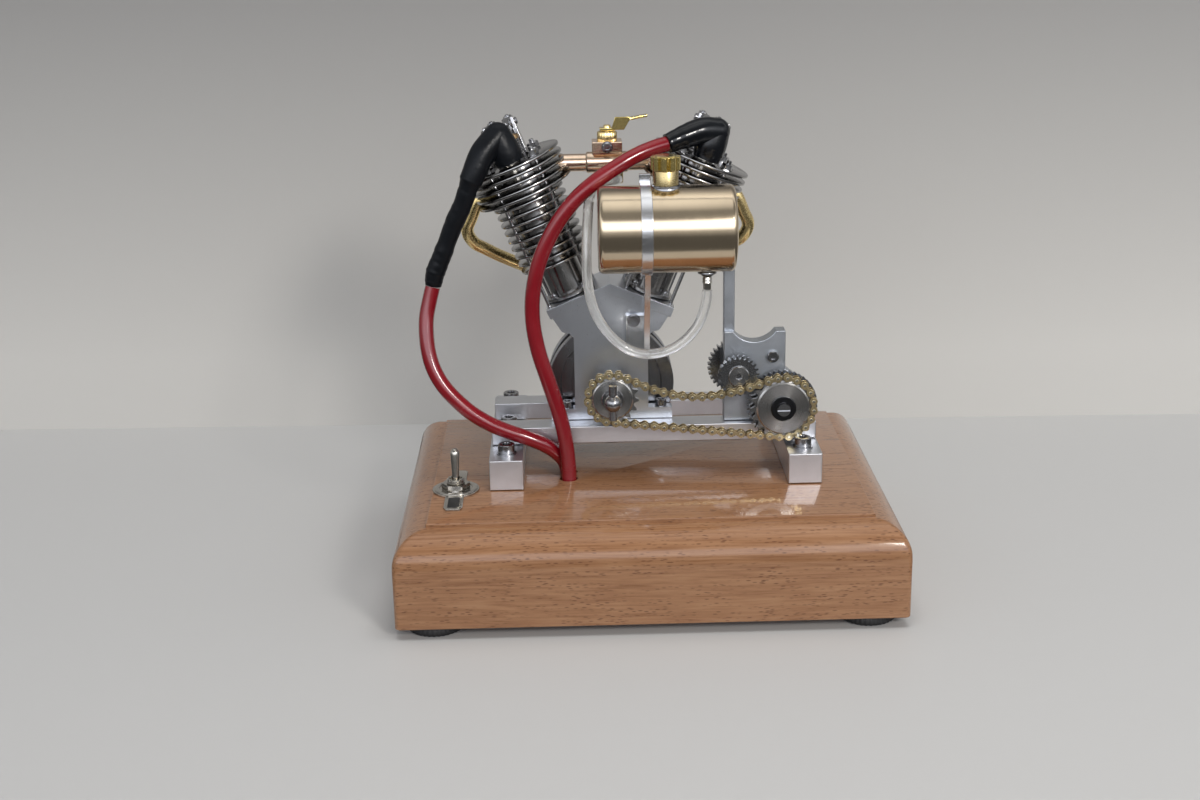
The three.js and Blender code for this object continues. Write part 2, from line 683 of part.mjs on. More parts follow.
function makeChain() {
  const outer = shapeOf(chainPath(chain.half));
  outer.holes.push(new THREE.Path(chainPath(-chain.half).map(([x, z]) => new THREE.Vector2(x, z))));
  const loop = plateXZ(outer, chainY - chain.width / 2, chainY + chain.width / 2);
  const inner = plateXZ(shapeOf(chainPath(0.85)), chainY - chain.slot / 2, chainY + chain.slot / 2);
  return loop.subtract(inner);
}

function makeSprocket(wheel, teeth, radius, extras) {
  const root = radius - 1.1;
  const tip = radius + 0.5;
  const outline = [];
  const step = (2 * Math.PI) / teeth;
  for (let i = 0; i < teeth; i += 1) {
    for (const [r, share] of [[root, -0.3], [tip, -0.12], [tip, 0.12], [root, 0.3]]) {
      const angle = step * (i + share);
      outline.push([wheel.x + r * Math.cos(angle), wheel.z + r * Math.sin(angle)]);
    }
  }
  const face = rod(radius - 1.55, [wheel.x, -15.1, wheel.z], [wheel.x, -11.95, wheel.z], 24);
  return join(plateXZ(shapeOf(outline), chainY - 0.4, chainY + 0.4), face, ...extras);
}
const smallHub = rod(4.2, [crank.x, -12.5, crank.z], [crank.x, -4, crank.z], 24);
const smallBore = rod(crank.shaft + 0.3, [crank.x, -20, crank.z], [crank.x, 0, crank.z], 24);
const crankSprocket = makeSprocket(crank, smallTeeth, smallRadius, [smallHub]).subtract(smallBore);
add('crank_sprocket', crankSprocket, finishes.steel);

const shaftRadius = 2;
const largeBore = rod(shaftRadius + 0.3, [drive.x, -20, drive.z], [drive.x, 0, drive.z], 24);
const blackHub = rod(4.1, [drive.x, -15.9, drive.z], [drive.x, -14, drive.z], 24);
const driveSprocket = makeSprocket(drive, largeTeeth, largeRadius, [blackHub]).subtract(largeBore);
add('drive_sprocket', driveSprocket, finishes.steel);
add('drive_chain', makeChain(), finishes.chainBrass);

// ---- starter gearing and motor bracket ----
const idler = { x: 31 };
idler.z = drive.z + Math.sqrt(idlerDistance ** 2 - (drive.x - idler.x) ** 2);
const meshAngle = Math.atan2(idler.z - drive.z, idler.x - drive.x);
add('starter_gear', join(
  plateXZ(gearOutline(starterModule, starterTeeth, meshAngle, drive.x, drive.z), -11.6, -9.5),
  rod(shaftRadius, [drive.x, -16.4, drive.z], [drive.x, 0.5, drive.z]),
), finishes.darkSteel);
const idlerPhase = meshAngle + Math.PI + Math.PI / idlerTeeth;
add('idler_gear', join(
  plateXZ(gearOutline(starterModule, idlerTeeth, idlerPhase, idler.x, idler.z), -11.6, -9.5),
  rod(3.4, [idler.x, -11.8, idler.z], [idler.x, -7.4, idler.z]),
  rod(1.6, [idler.x, -8, idler.z], [idler.x, 3, idler.z], 14),
  plateXZ(gearOutline(starterModule, reductionTeeth, 0, idler.x, idler.z), 0.2, 2.6),
), finishes.darkSteel);

function makeMotorBracket() {
  const [left, right, top] = [26.6, 46.8, 81.5];
  const bottom = railTop + GAP;
  const saddle = { x: 36.6, radius: 8.5, depth: 3.6 };
  const footEnd = 52.5;
  const outline = [[left, bottom], [footEnd, bottom], [footEnd, 64], [right, 68.5], [right, top], [left, top]];
  const plate = plateXZ(shapeOf(outline), -6.6, -1.1);
  const cradleZ = top - saddle.depth + saddle.radius;
  return cut(
    join(plate, box(left, left + 3.6, -4.6, -1.1, top - 1, 112)),
    rod(saddle.radius, [saddle.x, -10, cradleZ], [saddle.x, 5, cradleZ], 32),
    rod(shaftRadius + 0.3, [drive.x, -10, drive.z], [drive.x, 5, drive.z]),
    rod(1.9, [idler.x, -10, idler.z], [idler.x, 5, idler.z], 16),
  );
}
add('motor_bracket', makeMotorBracket(), finishes.aluminium);

// ---- toggle switch ----
function makeToggleSwitch() {
  const { x, y } = toggle;
  const at = (z) => [x, y, z];
  const washer = join(rod(7.6, at(fieldTop + 0.2), at(fieldTop + 0.8), 28),
    box(x - 3, x + 3, y - 19, y, fieldTop + 0.2, fieldTop + 0.8),
    box(x - 1.5, x + 3, y, y + 17, fieldTop + 0.2, fieldTop + 0.8));
  const bushing = rod(2.95, at(cavity.top - 1), at(fieldTop + 4.2), 20);
  const nut = rod(4.6, at(fieldTop + 0.8), at(fieldTop + 2.8), 6);
  const bodyBox = box(x - 4, x + 4, y - 6.4, y + 6.4, 17.5, cavity.top - 0.2);
  return join(bodyBox, bushing, nut, washer).subtract(rod(2.1, at(fieldTop + 1), at(fieldTop + 6), 16));
}

function makeToggleLever() {
  const { x, y, tilt } = toggle;
  const pivot = fieldTop + 2.6;
  const at = (s) => [x, y + s * Math.sin(tilt), pivot + s * Math.cos(tilt)];
  return join(rod(1.1, at(-1), at(4), 12, 1.25), rod(1.25, at(4), at(10), 12, 1.45), ball(1.45, at(10)));
}
add('toggle_switch', makeToggleSwitch(), finishes.nickel);
add('toggle_lever', makeToggleLever(), finishes.nickel);

// ---- free cords ----
const leadRadius = 2.5;
const hoseRadius = 1.6;
const leadLeft = [
  [-68.1, -2.05, 97.7], [-69.3, -2.9, 93.2], [-70.4, -4.1, 88.2], [-70.6, -5.8, 82.8],
  [-70, -7.5, 77], [-68.4, -9, 71.6],
  [-65.6, -10.3, 66.6], [-61.8, -11.3, 62.2], [-56.6, -12.3, 57.6], [-51, -12.8, 54], [-45, -13, 51.2],
  [-39, -12.9, 48.9], [-33.4, -12.3, 46.2], [-29.2, -11, 42.9], [-26.7, -9.2, 39.2],
  [-25.7, -8, 35.3], [-25.5, -7.5, 30.6],
];
const leadRight = [
  [7.9, -6.2, 143.3], [4.4, -7.8, 142.6], [-1.2, -10, 140.8], [-7, -12, 138], [-14.5, -14, 133.4],
  [-21.7, -15, 127.3],
  [-28, -15.2, 118.8], [-32.7, -15.2, 109], [-35.2, -15.2, 98.8], [-35.6, -15.2, 89], [-34.1, -15.2, 79],
  [-31.2, -15.2, 69], [-28.4, -15.1, 59.4], [-26.2, -14.6, 49.4], [-25.3, -14.1, 40], [-25.1, -13.9, 30.6],
];
const hose = [
  [19.7, -22.5, 99.6], [19.5, -22.6, 96.4], [18.3, -22.8, 92.1], [16.9, -23, 88.8], [14.7, -23, 85.8],
  [12.2, -23, 83.3],
  [9.3, -23, 81.3], [5, -23, 79.7], [0.4, -23, 79.3], [-4, -23, 80.3], [-7.6, -23, 82.4], [-11, -23, 85.7],
  [-13.9, -22.8, 89.7], [-15.9, -22.5, 93.8], [-17.2, -22, 98.5], [-17.9, -21.4, 104], [-18, -20.8, 110],
  [-17.8, -19.2, 116.2], [-17.4, -16.8, 121.8], [-16.9, -13.2, 126.4], [-15.6, -8.6, 129.6],
  [-13.2, -4, 130.9],
  [-10.3, -0.2, 130.9], [-8.2, 3.2, 130.5], [-7.1, 7, 130.2],
];
add('ht_lead_left', tube(leadRadius, leadLeft, 8, 20), finishes.redSilicone);
add('ht_lead_right', tube(leadRadius, leadRight, 8, 20), finishes.redSilicone);
add('fuel_hose', tube(hoseRadius, hose, 8, 26), finishes.clearSilicone);

export default model;
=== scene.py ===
"""Miniature V-twin engine on a wooden base. Sizes are in millimetres and become metres in fill_mesh()."""
from math import acos, asin, atan2, cos, degrees, dist, exp, hypot, pi, radians, sin, sqrt, tan

import bmesh
import bpy
from mathutils import Matrix, Vector


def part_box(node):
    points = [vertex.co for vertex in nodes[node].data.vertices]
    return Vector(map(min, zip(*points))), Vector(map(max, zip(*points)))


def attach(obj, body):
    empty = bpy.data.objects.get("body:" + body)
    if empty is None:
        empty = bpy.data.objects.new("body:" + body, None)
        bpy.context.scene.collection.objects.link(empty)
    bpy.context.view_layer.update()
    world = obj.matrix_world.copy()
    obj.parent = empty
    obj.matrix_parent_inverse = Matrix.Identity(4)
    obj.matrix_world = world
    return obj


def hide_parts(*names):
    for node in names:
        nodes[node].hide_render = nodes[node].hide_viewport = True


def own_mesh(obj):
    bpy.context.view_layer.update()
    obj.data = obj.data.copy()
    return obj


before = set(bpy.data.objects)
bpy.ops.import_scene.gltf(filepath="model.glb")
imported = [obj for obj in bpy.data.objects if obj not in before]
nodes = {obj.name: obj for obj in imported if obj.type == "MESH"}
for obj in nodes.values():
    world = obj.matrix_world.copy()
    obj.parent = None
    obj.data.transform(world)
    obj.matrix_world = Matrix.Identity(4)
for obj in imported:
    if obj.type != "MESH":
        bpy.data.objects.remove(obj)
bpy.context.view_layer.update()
MM = 0.001
MICRON = 0.000001
LEAN = radians(22.5)
CRANK = Vector((-10.4, 9, 61.8))
DRIVE = Vector((45.3, -13.5, 57.5))
UP, FORWARD = (0, 0, 1), (0, -1, 0)


def bank(side):
    """Frame of a cylinder bank: Z along the bore from the crank's axis."""
    return Matrix.Translation(CRANK) @ Matrix.Rotation(side * LEAN, 4, "Y")


def add_object(name, data):
    obj = bpy.data.objects.new(name, data)
    bpy.context.scene.collection.objects.link(obj)
    return obj


# ---- camera ----
CAMERA_AT = Vector((-23.2, -542, 228.2))
PITCH, YAW, ROLL = radians(17.515), radians(0.943), radians(-1.045)
forward = Vector((sin(YAW) * cos(PITCH), cos(YAW) * cos(PITCH), -sin(PITCH)))
level = Vector((cos(YAW), -sin(YAW), 0))
above = level.cross(forward)
right = cos(ROLL) * level + sin(ROLL) * above
up = cos(ROLL) * above - sin(ROLL) * level
lens = bpy.data.cameras.new("camera")
lens.lens = 51
lens.sensor_width = 36
lens.sensor_fit = "HORIZONTAL"
lens.clip_start = 0.01
camera = add_object("camera", lens)
turn = Matrix((right, up, -forward)).transposed().to_4x4()
camera.matrix_world = Matrix.Translation(CAMERA_AT * MM) @ turn
bpy.context.scene.camera = camera


# ---- materials ----
class Graph:
    """Makes and links the nodes of a material or of the world."""

    def __init__(self, tree):
        self.tree = tree

    def node(self, kind, values=None, **fields):
        made = self.tree.nodes.new("ShaderNode" + kind)
        for field, value in fields.items():
            setattr(made, field, value)
        for key, value in (values or {}).items():
            if isinstance(value, bpy.types.NodeSocket):
                self.tree.links.new(value, made.inputs[key])
            else:
                made.inputs[key].default_value = value
        return made

    def math(self, operation, *values, kind="VectorMath"):
        made = self.node(kind, dict(enumerate(values)), operation=operation)
        return made.outputs[1 if operation == "LENGTH" else 0]

    def spread(self, factor, low, high, start=0.3, end=0.7):
        values = {"Value": factor, "From Min": start, "From Max": end, "To Min": low, "To Max": high}
        return self.node("MapRange", values).outputs["Result"]

    def tint(self, factor, colors, stops):
        ramp = self.node("ValToRGB", {"Fac": factor})
        elements = ramp.color_ramp.elements
        while len(elements) < len(colors):
            elements.new(0.5)
        for element, color, stop in zip(elements, colors, stops):
            element.position = stop
            element.color = (*color, 1)
        return ramp.outputs["Color"]

    def mix(self, factor, first, second):
        return self.node("MixRGB", {"Fac": factor, "Color1": first, "Color2": second}).outputs["Color"]


class Look(Graph):
    """A material whose colour, roughness and bump come from object-space patterns."""

    def __init__(self, name, slot, color, rough, metal=0, **sockets):
        self.material = bpy.data.materials.new(name)
        self.material.use_nodes = True
        super().__init__(self.material.node_tree)
        self.shader = self.tree.nodes["Principled BSDF"]
        values = {"Base_Color": (*color, 1), "Roughness": rough, "Metallic": metal, **sockets}
        for socket, value in values.items():
            self.shader.inputs[socket.replace("_", " ")].default_value = value
        self.normal = None

    def link(self, source, socket):
        self.tree.links.new(source, self.shader.inputs[socket])

    def place(self, stretch=(1, 1, 1), source=None):
        source = source or self.node("TexCoord").outputs["Object"]
        return self.node("Mapping", {"Vector": source, "Scale": stretch}).outputs["Vector"]

    def noise(self, vector, scale, detail=3, rough=0.55):
        values = {"Vector": vector, "Scale": scale, "Detail": detail, "Roughness": rough}
        return self.node("TexNoise", values).outputs["Fac"]

    def rings(self, radius, scale):
        values = {"W": radius, "Scale": scale, "Detail": 3}
        return self.node("TexNoise", values, noise_dimensions="1D").outputs["Fac"]

    def across_tool_lines(self, offset, axis):
        """Turning leaves lines round the axis, and the highlight stretches across them."""
        around = self.math("CROSS_PRODUCT", offset, axis)
        normal = self.node("NewGeometry").outputs["True Normal"]
        across = self.math("CROSS_PRODUCT", normal, around)
        self.link(self.math("NORMALIZE", across), "Tangent")

    def bump(self, height, strength, microns):
        values = {"Height": height, "Strength": strength, "Distance": microns * MICRON}
        if self.normal:
            values["Normal"] = self.normal
        self.normal = self.node("Bump", values).outputs["Normal"]
        self.link(self.normal, "Normal")

    def finish(self, color, tones, wear, roughness, relief, strength, microns):
        """tones holds the pattern, its two factors on color, and the stops that they stand at."""
        pattern, factors, stops = tones
        shades = [tuple(c * factor for c in color) for factor in factors]
        self.link(self.tint(pattern, shades, stops), "Base Color")
        self.link(self.spread(wear, *roughness), "Roughness")
        self.bump(relief, strength, microns)
        return self.material


def metal(name, slot, color, rough, lines=(300, 300, 300), microns=20, spread=0.12, mottle=0.15):
    """Metal with fine tool lines along the short directions of lines, and a faint uneven tone."""
    look = Look(name, slot, color, rough, 1)
    fine = look.noise(look.place(lines), 10, 4, 0.6)
    broad = look.noise(look.place(), 90)
    return look.finish(color, (broad, [1 - mottle, 1 + mottle / 2], [0.35, 0.65]), fine,
                       (max(rough - spread, 0.05), rough + spread), fine, 0.35, microns)


def turned_metal(name, color, rough, centre, anisotropy=0.6):
    """Metal turned about a Y axis: rings round the centre, and highlights that fan out from it."""
    look = Look(name, "steel", color, rough, 1, Anisotropic=anisotropy)
    offset = look.math("SUBTRACT", look.place(), centre * MM)
    radius = look.math("LENGTH", look.math("MULTIPLY", offset, (1, 0, 1)))
    look.across_tool_lines(offset, (0, 1, 0))
    rings = look.rings(radius, 4200)
    wear = look.noise(look.place(), 120, 2)
    tones = rings, [0.7, 1.15], [0.3, 0.7]
    return look.finish(color, tones, wear, (rough - 0.02, rough + 0.04), rings, 0.3, 20)


def cylinder_steel(name, side, color, rough):
    """Steel turned about the leaning bore, with a fine ring on each fin."""
    look = Look(name, "dark_steel", color, rough, 1, Anisotropic=0.5)
    centred = look.node("Mapping", {"Vector": look.place(), "Location": -CRANK * MM}).outputs[0]
    turned = look.node("Mapping", {"Vector": centred, "Rotation": (0, -side * LEAN, 0)}).outputs[0]
    radius = look.math("LENGTH", look.math("MULTIPLY", turned, (1, 1, 0)))
    offset = look.math("SUBTRACT", look.place(), CRANK * MM)
    look.across_tool_lines(offset, (sin(side * LEAN), 0, cos(side * LEAN)))
    rings = look.rings(radius, 3500)
    wear = look.noise(look.place(), 220)
    tones = rings, [0.75, 1.2], [0.3, 0.7]
    return look.finish(color, tones, wear, (rough - 0.06, rough + 0.09), rings, 0.2, 20)


def soft_look(name, slot, color, rough, grain=900, microns=50, tone=0.25, **sockets):
    """Rubber, silicone and moulded plastic: a fine skin, with a slightly uneven tone and gloss."""
    look = Look(name, slot, color, rough, **sockets)
    fine = look.noise(look.place(), grain, 4)
    broad = look.noise(look.place(), 70)
    return look.finish(color, (broad, [1 - tone, 1 + tone], [0.3, 0.7]), broad,
                       (max(rough - 0.1, 0.05), rough + 0.12), fine, 0.3, microns)


BEECH = [(0.195, 0.086, 0.039), (0.275, 0.137, 0.067), (0.35, 0.19, 0.1)]
BEECH_FLECK = (0.1, 0.038, 0.018)


def wood_look():
    """Varnished beech: long grain that sways a little, with short dark flecks."""
    look = Look("varnished_beech", "wood", (0.4, 0.2, 0.1), 0.3, Coat_Weight=0.75, Coat_Roughness=0.07,
                Coat_IOR=1.45, Specular_IOR_Level=0.15)
    bend = look.noise(look.place((9, 30, 30)), 1, 2)
    sway = {"Y": look.spread(bend, -0.0016, 0.0016), "Z": look.spread(bend, -0.0012, 0.0012)}
    sway = look.node("CombineXYZ", sway).outputs[0]
    warped = look.math("ADD", look.place(), sway)
    grain = look.noise(look.place((50, 1300, 1300), warped), 1, 4, 0.6)
    broad = look.noise(look.place((4, 60, 90), warped), 1)
    mixed = look.math("ADD", grain, look.spread(broad, -0.05, 0.05), kind="Math")
    base = look.tint(mixed, BEECH, [0.25, 0.5, 0.78])
    cells = look.node("TexVoronoi", {"Vector": look.place((360, 1250, 1600), warped), "Scale": 1})
    gate = look.noise(look.place((45, 330, 420), warped), 1, 2)
    dashes = look.spread(cells.outputs["Distance"], 1, 0, 0.16, 0.36)
    fleck = look.math("MULTIPLY", dashes, look.spread(gate, 0, 1, 0.4, 0.56), kind="Math")
    look.link(look.mix(look.spread(fleck, 0, 0.85, 0, 1), base, (*BEECH_FLECK, 1)), "Base Color")
    look.link(look.spread(grain, 0.25, 0.4), "Roughness")
    look.bump(fleck, -0.2, 60)
    look.bump(look.noise(look.place(), 45, 2), 0.05, 500)
    return look.material


EVEN = (500, 500, 500)
WOOD = wood_look()
BOARD = metal("cover_board", "wood", (0.3, 0.2, 0.12), 0.6, (20, 300, 300))
FOOT_RUBBER = soft_look("foot_rubber", "foot_rubber", (0.012, 0.012, 0.013), 0.65, 700, 200)
BAR = metal("bar_aluminium", "aluminium", (0.7, 0.71, 0.74), 0.4, (700, 700, 30), 20, 0.1, 0.06)
BRIGHT_STRIP = metal("bright_strip", "aluminium", (0.8, 0.81, 0.83), 0.22, (30, 500, 500), 10, 0.06, 0.05)
CASE = metal("case_aluminium", "case_aluminium", (0.68, 0.71, 0.76), 0.3, (500, 500, 60), 1, 0.03, 0.05)
SADDLE = metal("saddle_aluminium", "case_aluminium", (0.48, 0.51, 0.55), 0.42, (260, 60, 260), 30, 0.14)
POLISHED = metal("polished_steel", "steel", (0.42, 0.42, 0.43), 0.16, (200, 200, 900), 12, 0.07)
SCREW = metal("screw_steel", "steel", (0.3, 0.3, 0.31), 0.2, (400, 400, 400), 20, 0.1)
BLACK_STEEL = metal("black_steel", "steel", (0.03, 0.031, 0.034), 0.35, (400, 400, 400))
GEAR_STEEL = metal("gear_steel", "gear_steel", (0.3, 0.305, 0.315), 0.22, EVEN, 30)
COPPER = metal("copper_retainer", "brass", (0.5, 0.33, 0.17), 0.28, EVEN)
CHAIN_GOLD = metal("chain_gold", "chain_brass", (0.78, 0.64, 0.37), 0.28, EVEN, 10, 0.08, 0.2)
# Painted shade: the inner plates and rollers get a darker copy of the chain's brass, as if shaded between
# the outer plates.
CHAIN_SHADED_INNER = metal("chain_inner_painted_shade", "chain_brass", (0.34, 0.27, 0.15), 0.3, EVEN, 10, 0.08, 0.2)
CHAIN_PIN = metal("chain_pin", "chain_brass", (0.95, 0.9, 0.72), 0.12, EVEN, 10, 0.05, 0.1)
BRASS = metal("polished_brass", "brass", (0.93, 0.73, 0.35), 0.24, (250, 250, 250), 10, 0.08)
ROSE_BRASS = metal("rose_brass", "manifold_brass", (0.93, 0.72, 0.54), 0.2, (60, 500, 500), 10, 0.08)
PALE_BRASS = metal("pale_brass", "brass", (0.85, 0.68, 0.27), 0.2, microns=10, spread=0.08)
NECK_BRASS = metal("neck_brass", "tank_brass", (0.5, 0.4, 0.2), 0.25, microns=10, spread=0.08)
NICKEL = metal("nickel_plate", "nickel", (0.5, 0.475, 0.43), 0.18, (400, 400, 400), 10, 0.07)
TANK_BRASS = metal("tank_brass", "tank_brass", (0.68, 0.56, 0.4), 0.17, (1500, 12, 12), 4, 0.05, 0.05)
LEAD_RED = soft_look("lead_silicone", "lead_silicone", (0.2, 0.003, 0.009), 0.2, 500, 10, 0.08,
                     Coat_Weight=0.4, Coat_Roughness=0.06)
HOSE_CLEAR = soft_look("hose_silicone", "hose_silicone", (0.86, 0.86, 0.84), 0.12, 200, 4, 0.03,
                       Transmission_Weight=0.75, Coat_Weight=0.5, Coat_Roughness=0.08)
CAP_BLACK = (0.004, 0.005, 0.007)
CAP_MATTE = soft_look("cap_rubber_matte", "cap_rubber", CAP_BLACK, 0.36, 420, 600, Specular_IOR_Level=0.2)
CAP_GLOSS = soft_look("cap_rubber_gloss", "cap_rubber", CAP_BLACK, 0.16, 240, 100, 0.2,
                      Specular_IOR_Level=0.4)
PLASTIC = soft_look("module_plastic", "plastic", (0.02, 0.022, 0.024), 0.5, 800, 100)


# ---- mesh building, in millimetres ----
def drum(radius, low, high, start=0, end=0):
    """Profile of a plain cylinder. start and end are the chamfers of its two edges."""
    profile = [(0, low), (radius - start, low)]
    if start:
        profile.append((radius, low + start))
    if end:
        profile.append((radius, high - end))
    return profile + [(radius - end, high), (0, high)]


class Solid:
    """Closed shells gathered into one mesh. Each method that adds one hands back the solid."""

    def __init__(self, place=None):
        self.bm = bmesh.new()
        self.place = place or Matrix.Identity(4)

    def loft(self, rings, closed=False):
        made = [[self.bm.verts.new(self.place @ Vector(p)) for p in ring] for ring in rings]
        count = len(made[0])
        pairs = list(zip(made, made[1:])) + ([(made[-1], made[0])] if closed else [])
        for low, high in pairs:
            for i in range(count):
                j = (i + 1) % count
                self.bm.faces.new((low[i], low[j], high[j], high[i]))
        if not closed:
            self.bm.faces.new(reversed(made[0]))
            self.bm.faces.new(made[-1])
        return self

    def lathe(self, profile, at=(0, 0, 0), axis="Z", n=64, closed=False, ripple=None):
        """profile lists (radius, height), or (radius, height, "hex") for a hexagon of that apothem.
        ripple holds the height and the number of ribs, and the radius past which they stand."""
        rings = []
        for radius, height, *hexagon in profile:
            ring = []
            for i in range(n):
                angle = 2 * pi * i / n
                r = max(radius, 0.02)
                if hexagon:
                    r /= cos(angle % (pi / 3) - pi / 6)
                if ripple and radius > ripple[2]:
                    r += ripple[0] * cos(ripple[1] * angle)
                u, v = r * cos(angle), r * sin(angle)
                x, y, z = {"Z": (u, v, height), "Y": (v, height, u), "X": (height, u, v)}[axis]
                ring.append((at[0] + x, at[1] + y, at[2] + z))
            rings.append(ring)
        return self.loft(rings, closed)

    def on_shaft(self, wheel, profile, n=32, closed=False):
        """A lathe about the Y axis through wheel."""
        return self.lathe(profile, (wheel.x, 0, wheel.z), "Y", n, closed)

    def prism(self, outline, low, high, axis="Y", twist=0, centre=CRANK):
        """outline in X and Z for axis Y, in Y and Z for axis X, in X and Y for axis Z."""
        cx, cz = centre.x, centre.z

        def ring(level, turn):
            c, s = cos(turn), sin(turn)
            offsets = [(u - cx, v - cz) for u, v in outline]
            points = [(cx + u * c - v * s, cz + u * s + v * c) for u, v in offsets]
            return [{"Y": (u, level, v), "X": (level, u, v), "Z": (u, v, level)}[axis] for u, v in points]
        steps = 6 if twist else 1
        shares = [i / steps for i in range(steps + 1)]
        return self.loft([ring(low + (high - low) * t, twist * (t - 0.5)) for t in shares])

    def box(self, low, high):
        (x0, y0, z0), (x1, y1, z1) = low, high
        return self.prism([(x0, z0), (x1, z0), (x1, z1), (x0, z1)], y0, y1)

    def tube(self, points, radius, n=16):
        """radius is one number, or one for each point."""
        points = [Vector(p) for p in points]
        radii = radius if isinstance(radius, list) else [radius] * len(points)
        normal = None
        rings = []
        last = len(points) - 1
        for i, point in enumerate(points):
            along = (points[min(i + 1, last)] - points[max(i - 1, 0)]).normalized()
            if normal is None:
                normal = along.orthogonal().normalized()
            normal = (normal - along * normal.dot(along)).normalized()
            other = along.cross(normal)
            rings.append([point + radii[i] * (cos(2 * pi * k / n) * normal + sin(2 * pi * k / n) * other)
                          for k in range(n)])
        return self.loft(rings)

    def screw(self, at, direction, head, height, washer=0):
        """Cap screw standing on at, pointing along direction, with a hexagon socket."""
        kept = self.place
        turn = Vector(UP).rotation_difference(Vector(direction)).to_matrix().to_4x4()
        self.place = kept @ Matrix.Translation(at) @ turn
        low = 0.4 if washer else 0
        if washer:
            self.lathe(drum(washer, 0, low), n=24)
        r, top, key = head / 2, height + low, head * 0.24
        floor = top - height * 0.6
        self.lathe([(0, low), (r, low), (r, top - 0.25), (r - 0.25, top), (key * 1.12, top),
                    (key, top - 0.15, "hex"), (key, floor, "hex"), (0, floor)], n=24)
        self.place = kept
        return self

    def nut(self, at, apothem, height, stud=0, rise=0.8):
        edge = apothem * 1.06
        self.lathe([(0, 0), (edge * 0.98, 0), (apothem, 0.15, "hex"), (apothem, height - 0.2, "hex"),
                    (edge * 0.95, height), (0, height)], at, n=24)
        if stud:
            low, tip = height - 0.1, height + rise
            self.lathe([(0, low), (stud, low), (stud, tip - 0.2), (stud * 0.6, tip), (0, tip)], at, n=16)


def smooth_line(points, steps):
    """Catmull-Rom line through points, steps to a span."""
    points = [Vector(p) for p in points]
    padded = [points[0] * 2 - points[1]] + points + [points[-1] * 2 - points[-2]]
    line = []
    for a, b, c, d in zip(padded, padded[1:], padded[2:], padded[3:]):
        for k in range(steps):
            t = k / steps
            line.append(0.5 * (2 * b + (c - a) * t + (2 * a - 5 * b + 4 * c - d) * t * t
                               + (3 * b - a - 3 * c + d) * t ** 3))
    return line + [points[-1]]


def spread_values(values, count):
    """Reads values evenly at count places, easing between them."""
    out = []
    for i in range(count):
        at = i / (count - 1) * (len(values) - 1)
        k = min(int(at), len(values) - 2)
        t = (at - k) ** 2 * (3 - 2 * (at - k))
        out.append(values[k] * (1 - t) + values[k + 1] * t)
    return out


def circle(cx, cy, radius, n=24, start=0, end=360):
    count = n if end - start >= 360 else n + 1
    angles = [radians(start + (end - start) * i / n) for i in range(count)]
    return [(cx + radius * cos(a), cy + radius * sin(a)) for a in angles]


def edge_rounding(obj, width, segments=2, angle=30):
    bevel = obj.modifiers.new("edges", "BEVEL")
    bevel.width = width * MM
    bevel.segments = segments
    bevel.limit_method = "ANGLE"
    bevel.angle_limit = radians(angle)
    bevel.harden_normals = True


def fill_mesh(solid, name):
    mesh = bpy.data.meshes.new(name)
    bmesh.ops.recalc_face_normals(solid.bm, faces=solid.bm.faces)
    bmesh.ops.scale(solid.bm, vec=(MM, MM, MM), verts=solid.bm.verts)
    solid.bm.to_mesh(mesh)
    solid.bm.free()
    return mesh


def finish(solid, name, material, body="frame", node=None, bevel=0, angle=30, segments=2):
    """node is the CAD node that the piece stands for. Edges past angle are rounded by bevel, or sharp."""
    mesh = fill_mesh(solid, name)
    mesh.shade_smooth()
    mesh.materials.append(material)
    obj = add_object(name, mesh)
    if bevel:
        edge_rounding(obj, bevel, segments, angle)
    else:
        mesh.set_sharp_from_angle(angle=radians(angle))
    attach(obj, body)
    if node:
        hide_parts(node)
    return obj


def dress(node, material, bevel):
    """A CAD node keeps its shape: its split vertices are welded, its edges rounded, and its finish set."""
    obj = nodes[node]
    obj.data.materials.clear()
    obj.data.materials.append(material)
    obj.modifiers.new("weld", "WELD").merge_threshold = 0.00001
    edge_rounding(obj, bevel)


def cut(obj, tool):
    """Takes tool, a Solid, away from obj."""
    cutter = add_object("tool", fill_mesh(tool, "tool"))
    modifier = obj.modifiers.new("cut", "BOOLEAN")
    modifier.operation = "DIFFERENCE"
    modifier.object = cutter
    modifier.solver = "EXACT"
    modifier.use_self = True
    graph = bpy.context.evaluated_depsgraph_get()
    made = bpy.data.meshes.new_from_object(obj.evaluated_get(graph))
    obj.modifiers.remove(modifier)
    obj.data = made
    bpy.data.objects.remove(cutter)


# ---- free cords: the same routes as in the CAD ----
LEAD_LEFT = [
    (-68.1, -2.05, 97.7), (-69.3, -2.9, 93.2), (-70.4, -4.1, 88.2), (-70.6, -5.8, 82.8), (-70, -7.5, 77),
    (-68.4, -9, 71.6), (-65.6, -10.3, 66.6), (-61.8, -11.3, 62.2), (-56.6, -12.3, 57.6), (-51, -12.8, 54),
    (-45, -13, 51.2), (-39, -12.9, 48.9), (-33.4, -12.3, 46.2), (-29.2, -11, 42.9), (-26.7, -9.2, 39.2),
    (-25.7, -8, 35.3), (-25.5, -7.5, 30.6),
]
LEAD_RIGHT = [
    (7.9, -6.2, 143.3), (4.4, -7.8, 142.6), (-1.2, -10, 140.8), (-7, -12, 138), (-14.5, -14, 133.4),
    (-21.7, -15, 127.3), (-28, -15.2, 118.8), (-32.7, -15.2, 109), (-35.2, -15.2, 98.8), (-35.6, -15.2, 89),
    (-34.1, -15.2, 79), (-31.2, -15.2, 69), (-28.4, -15.1, 59.4), (-26.2, -14.6, 49.4), (-25.3, -14.1, 40),
    (-25.1, -13.9, 30.6),
]
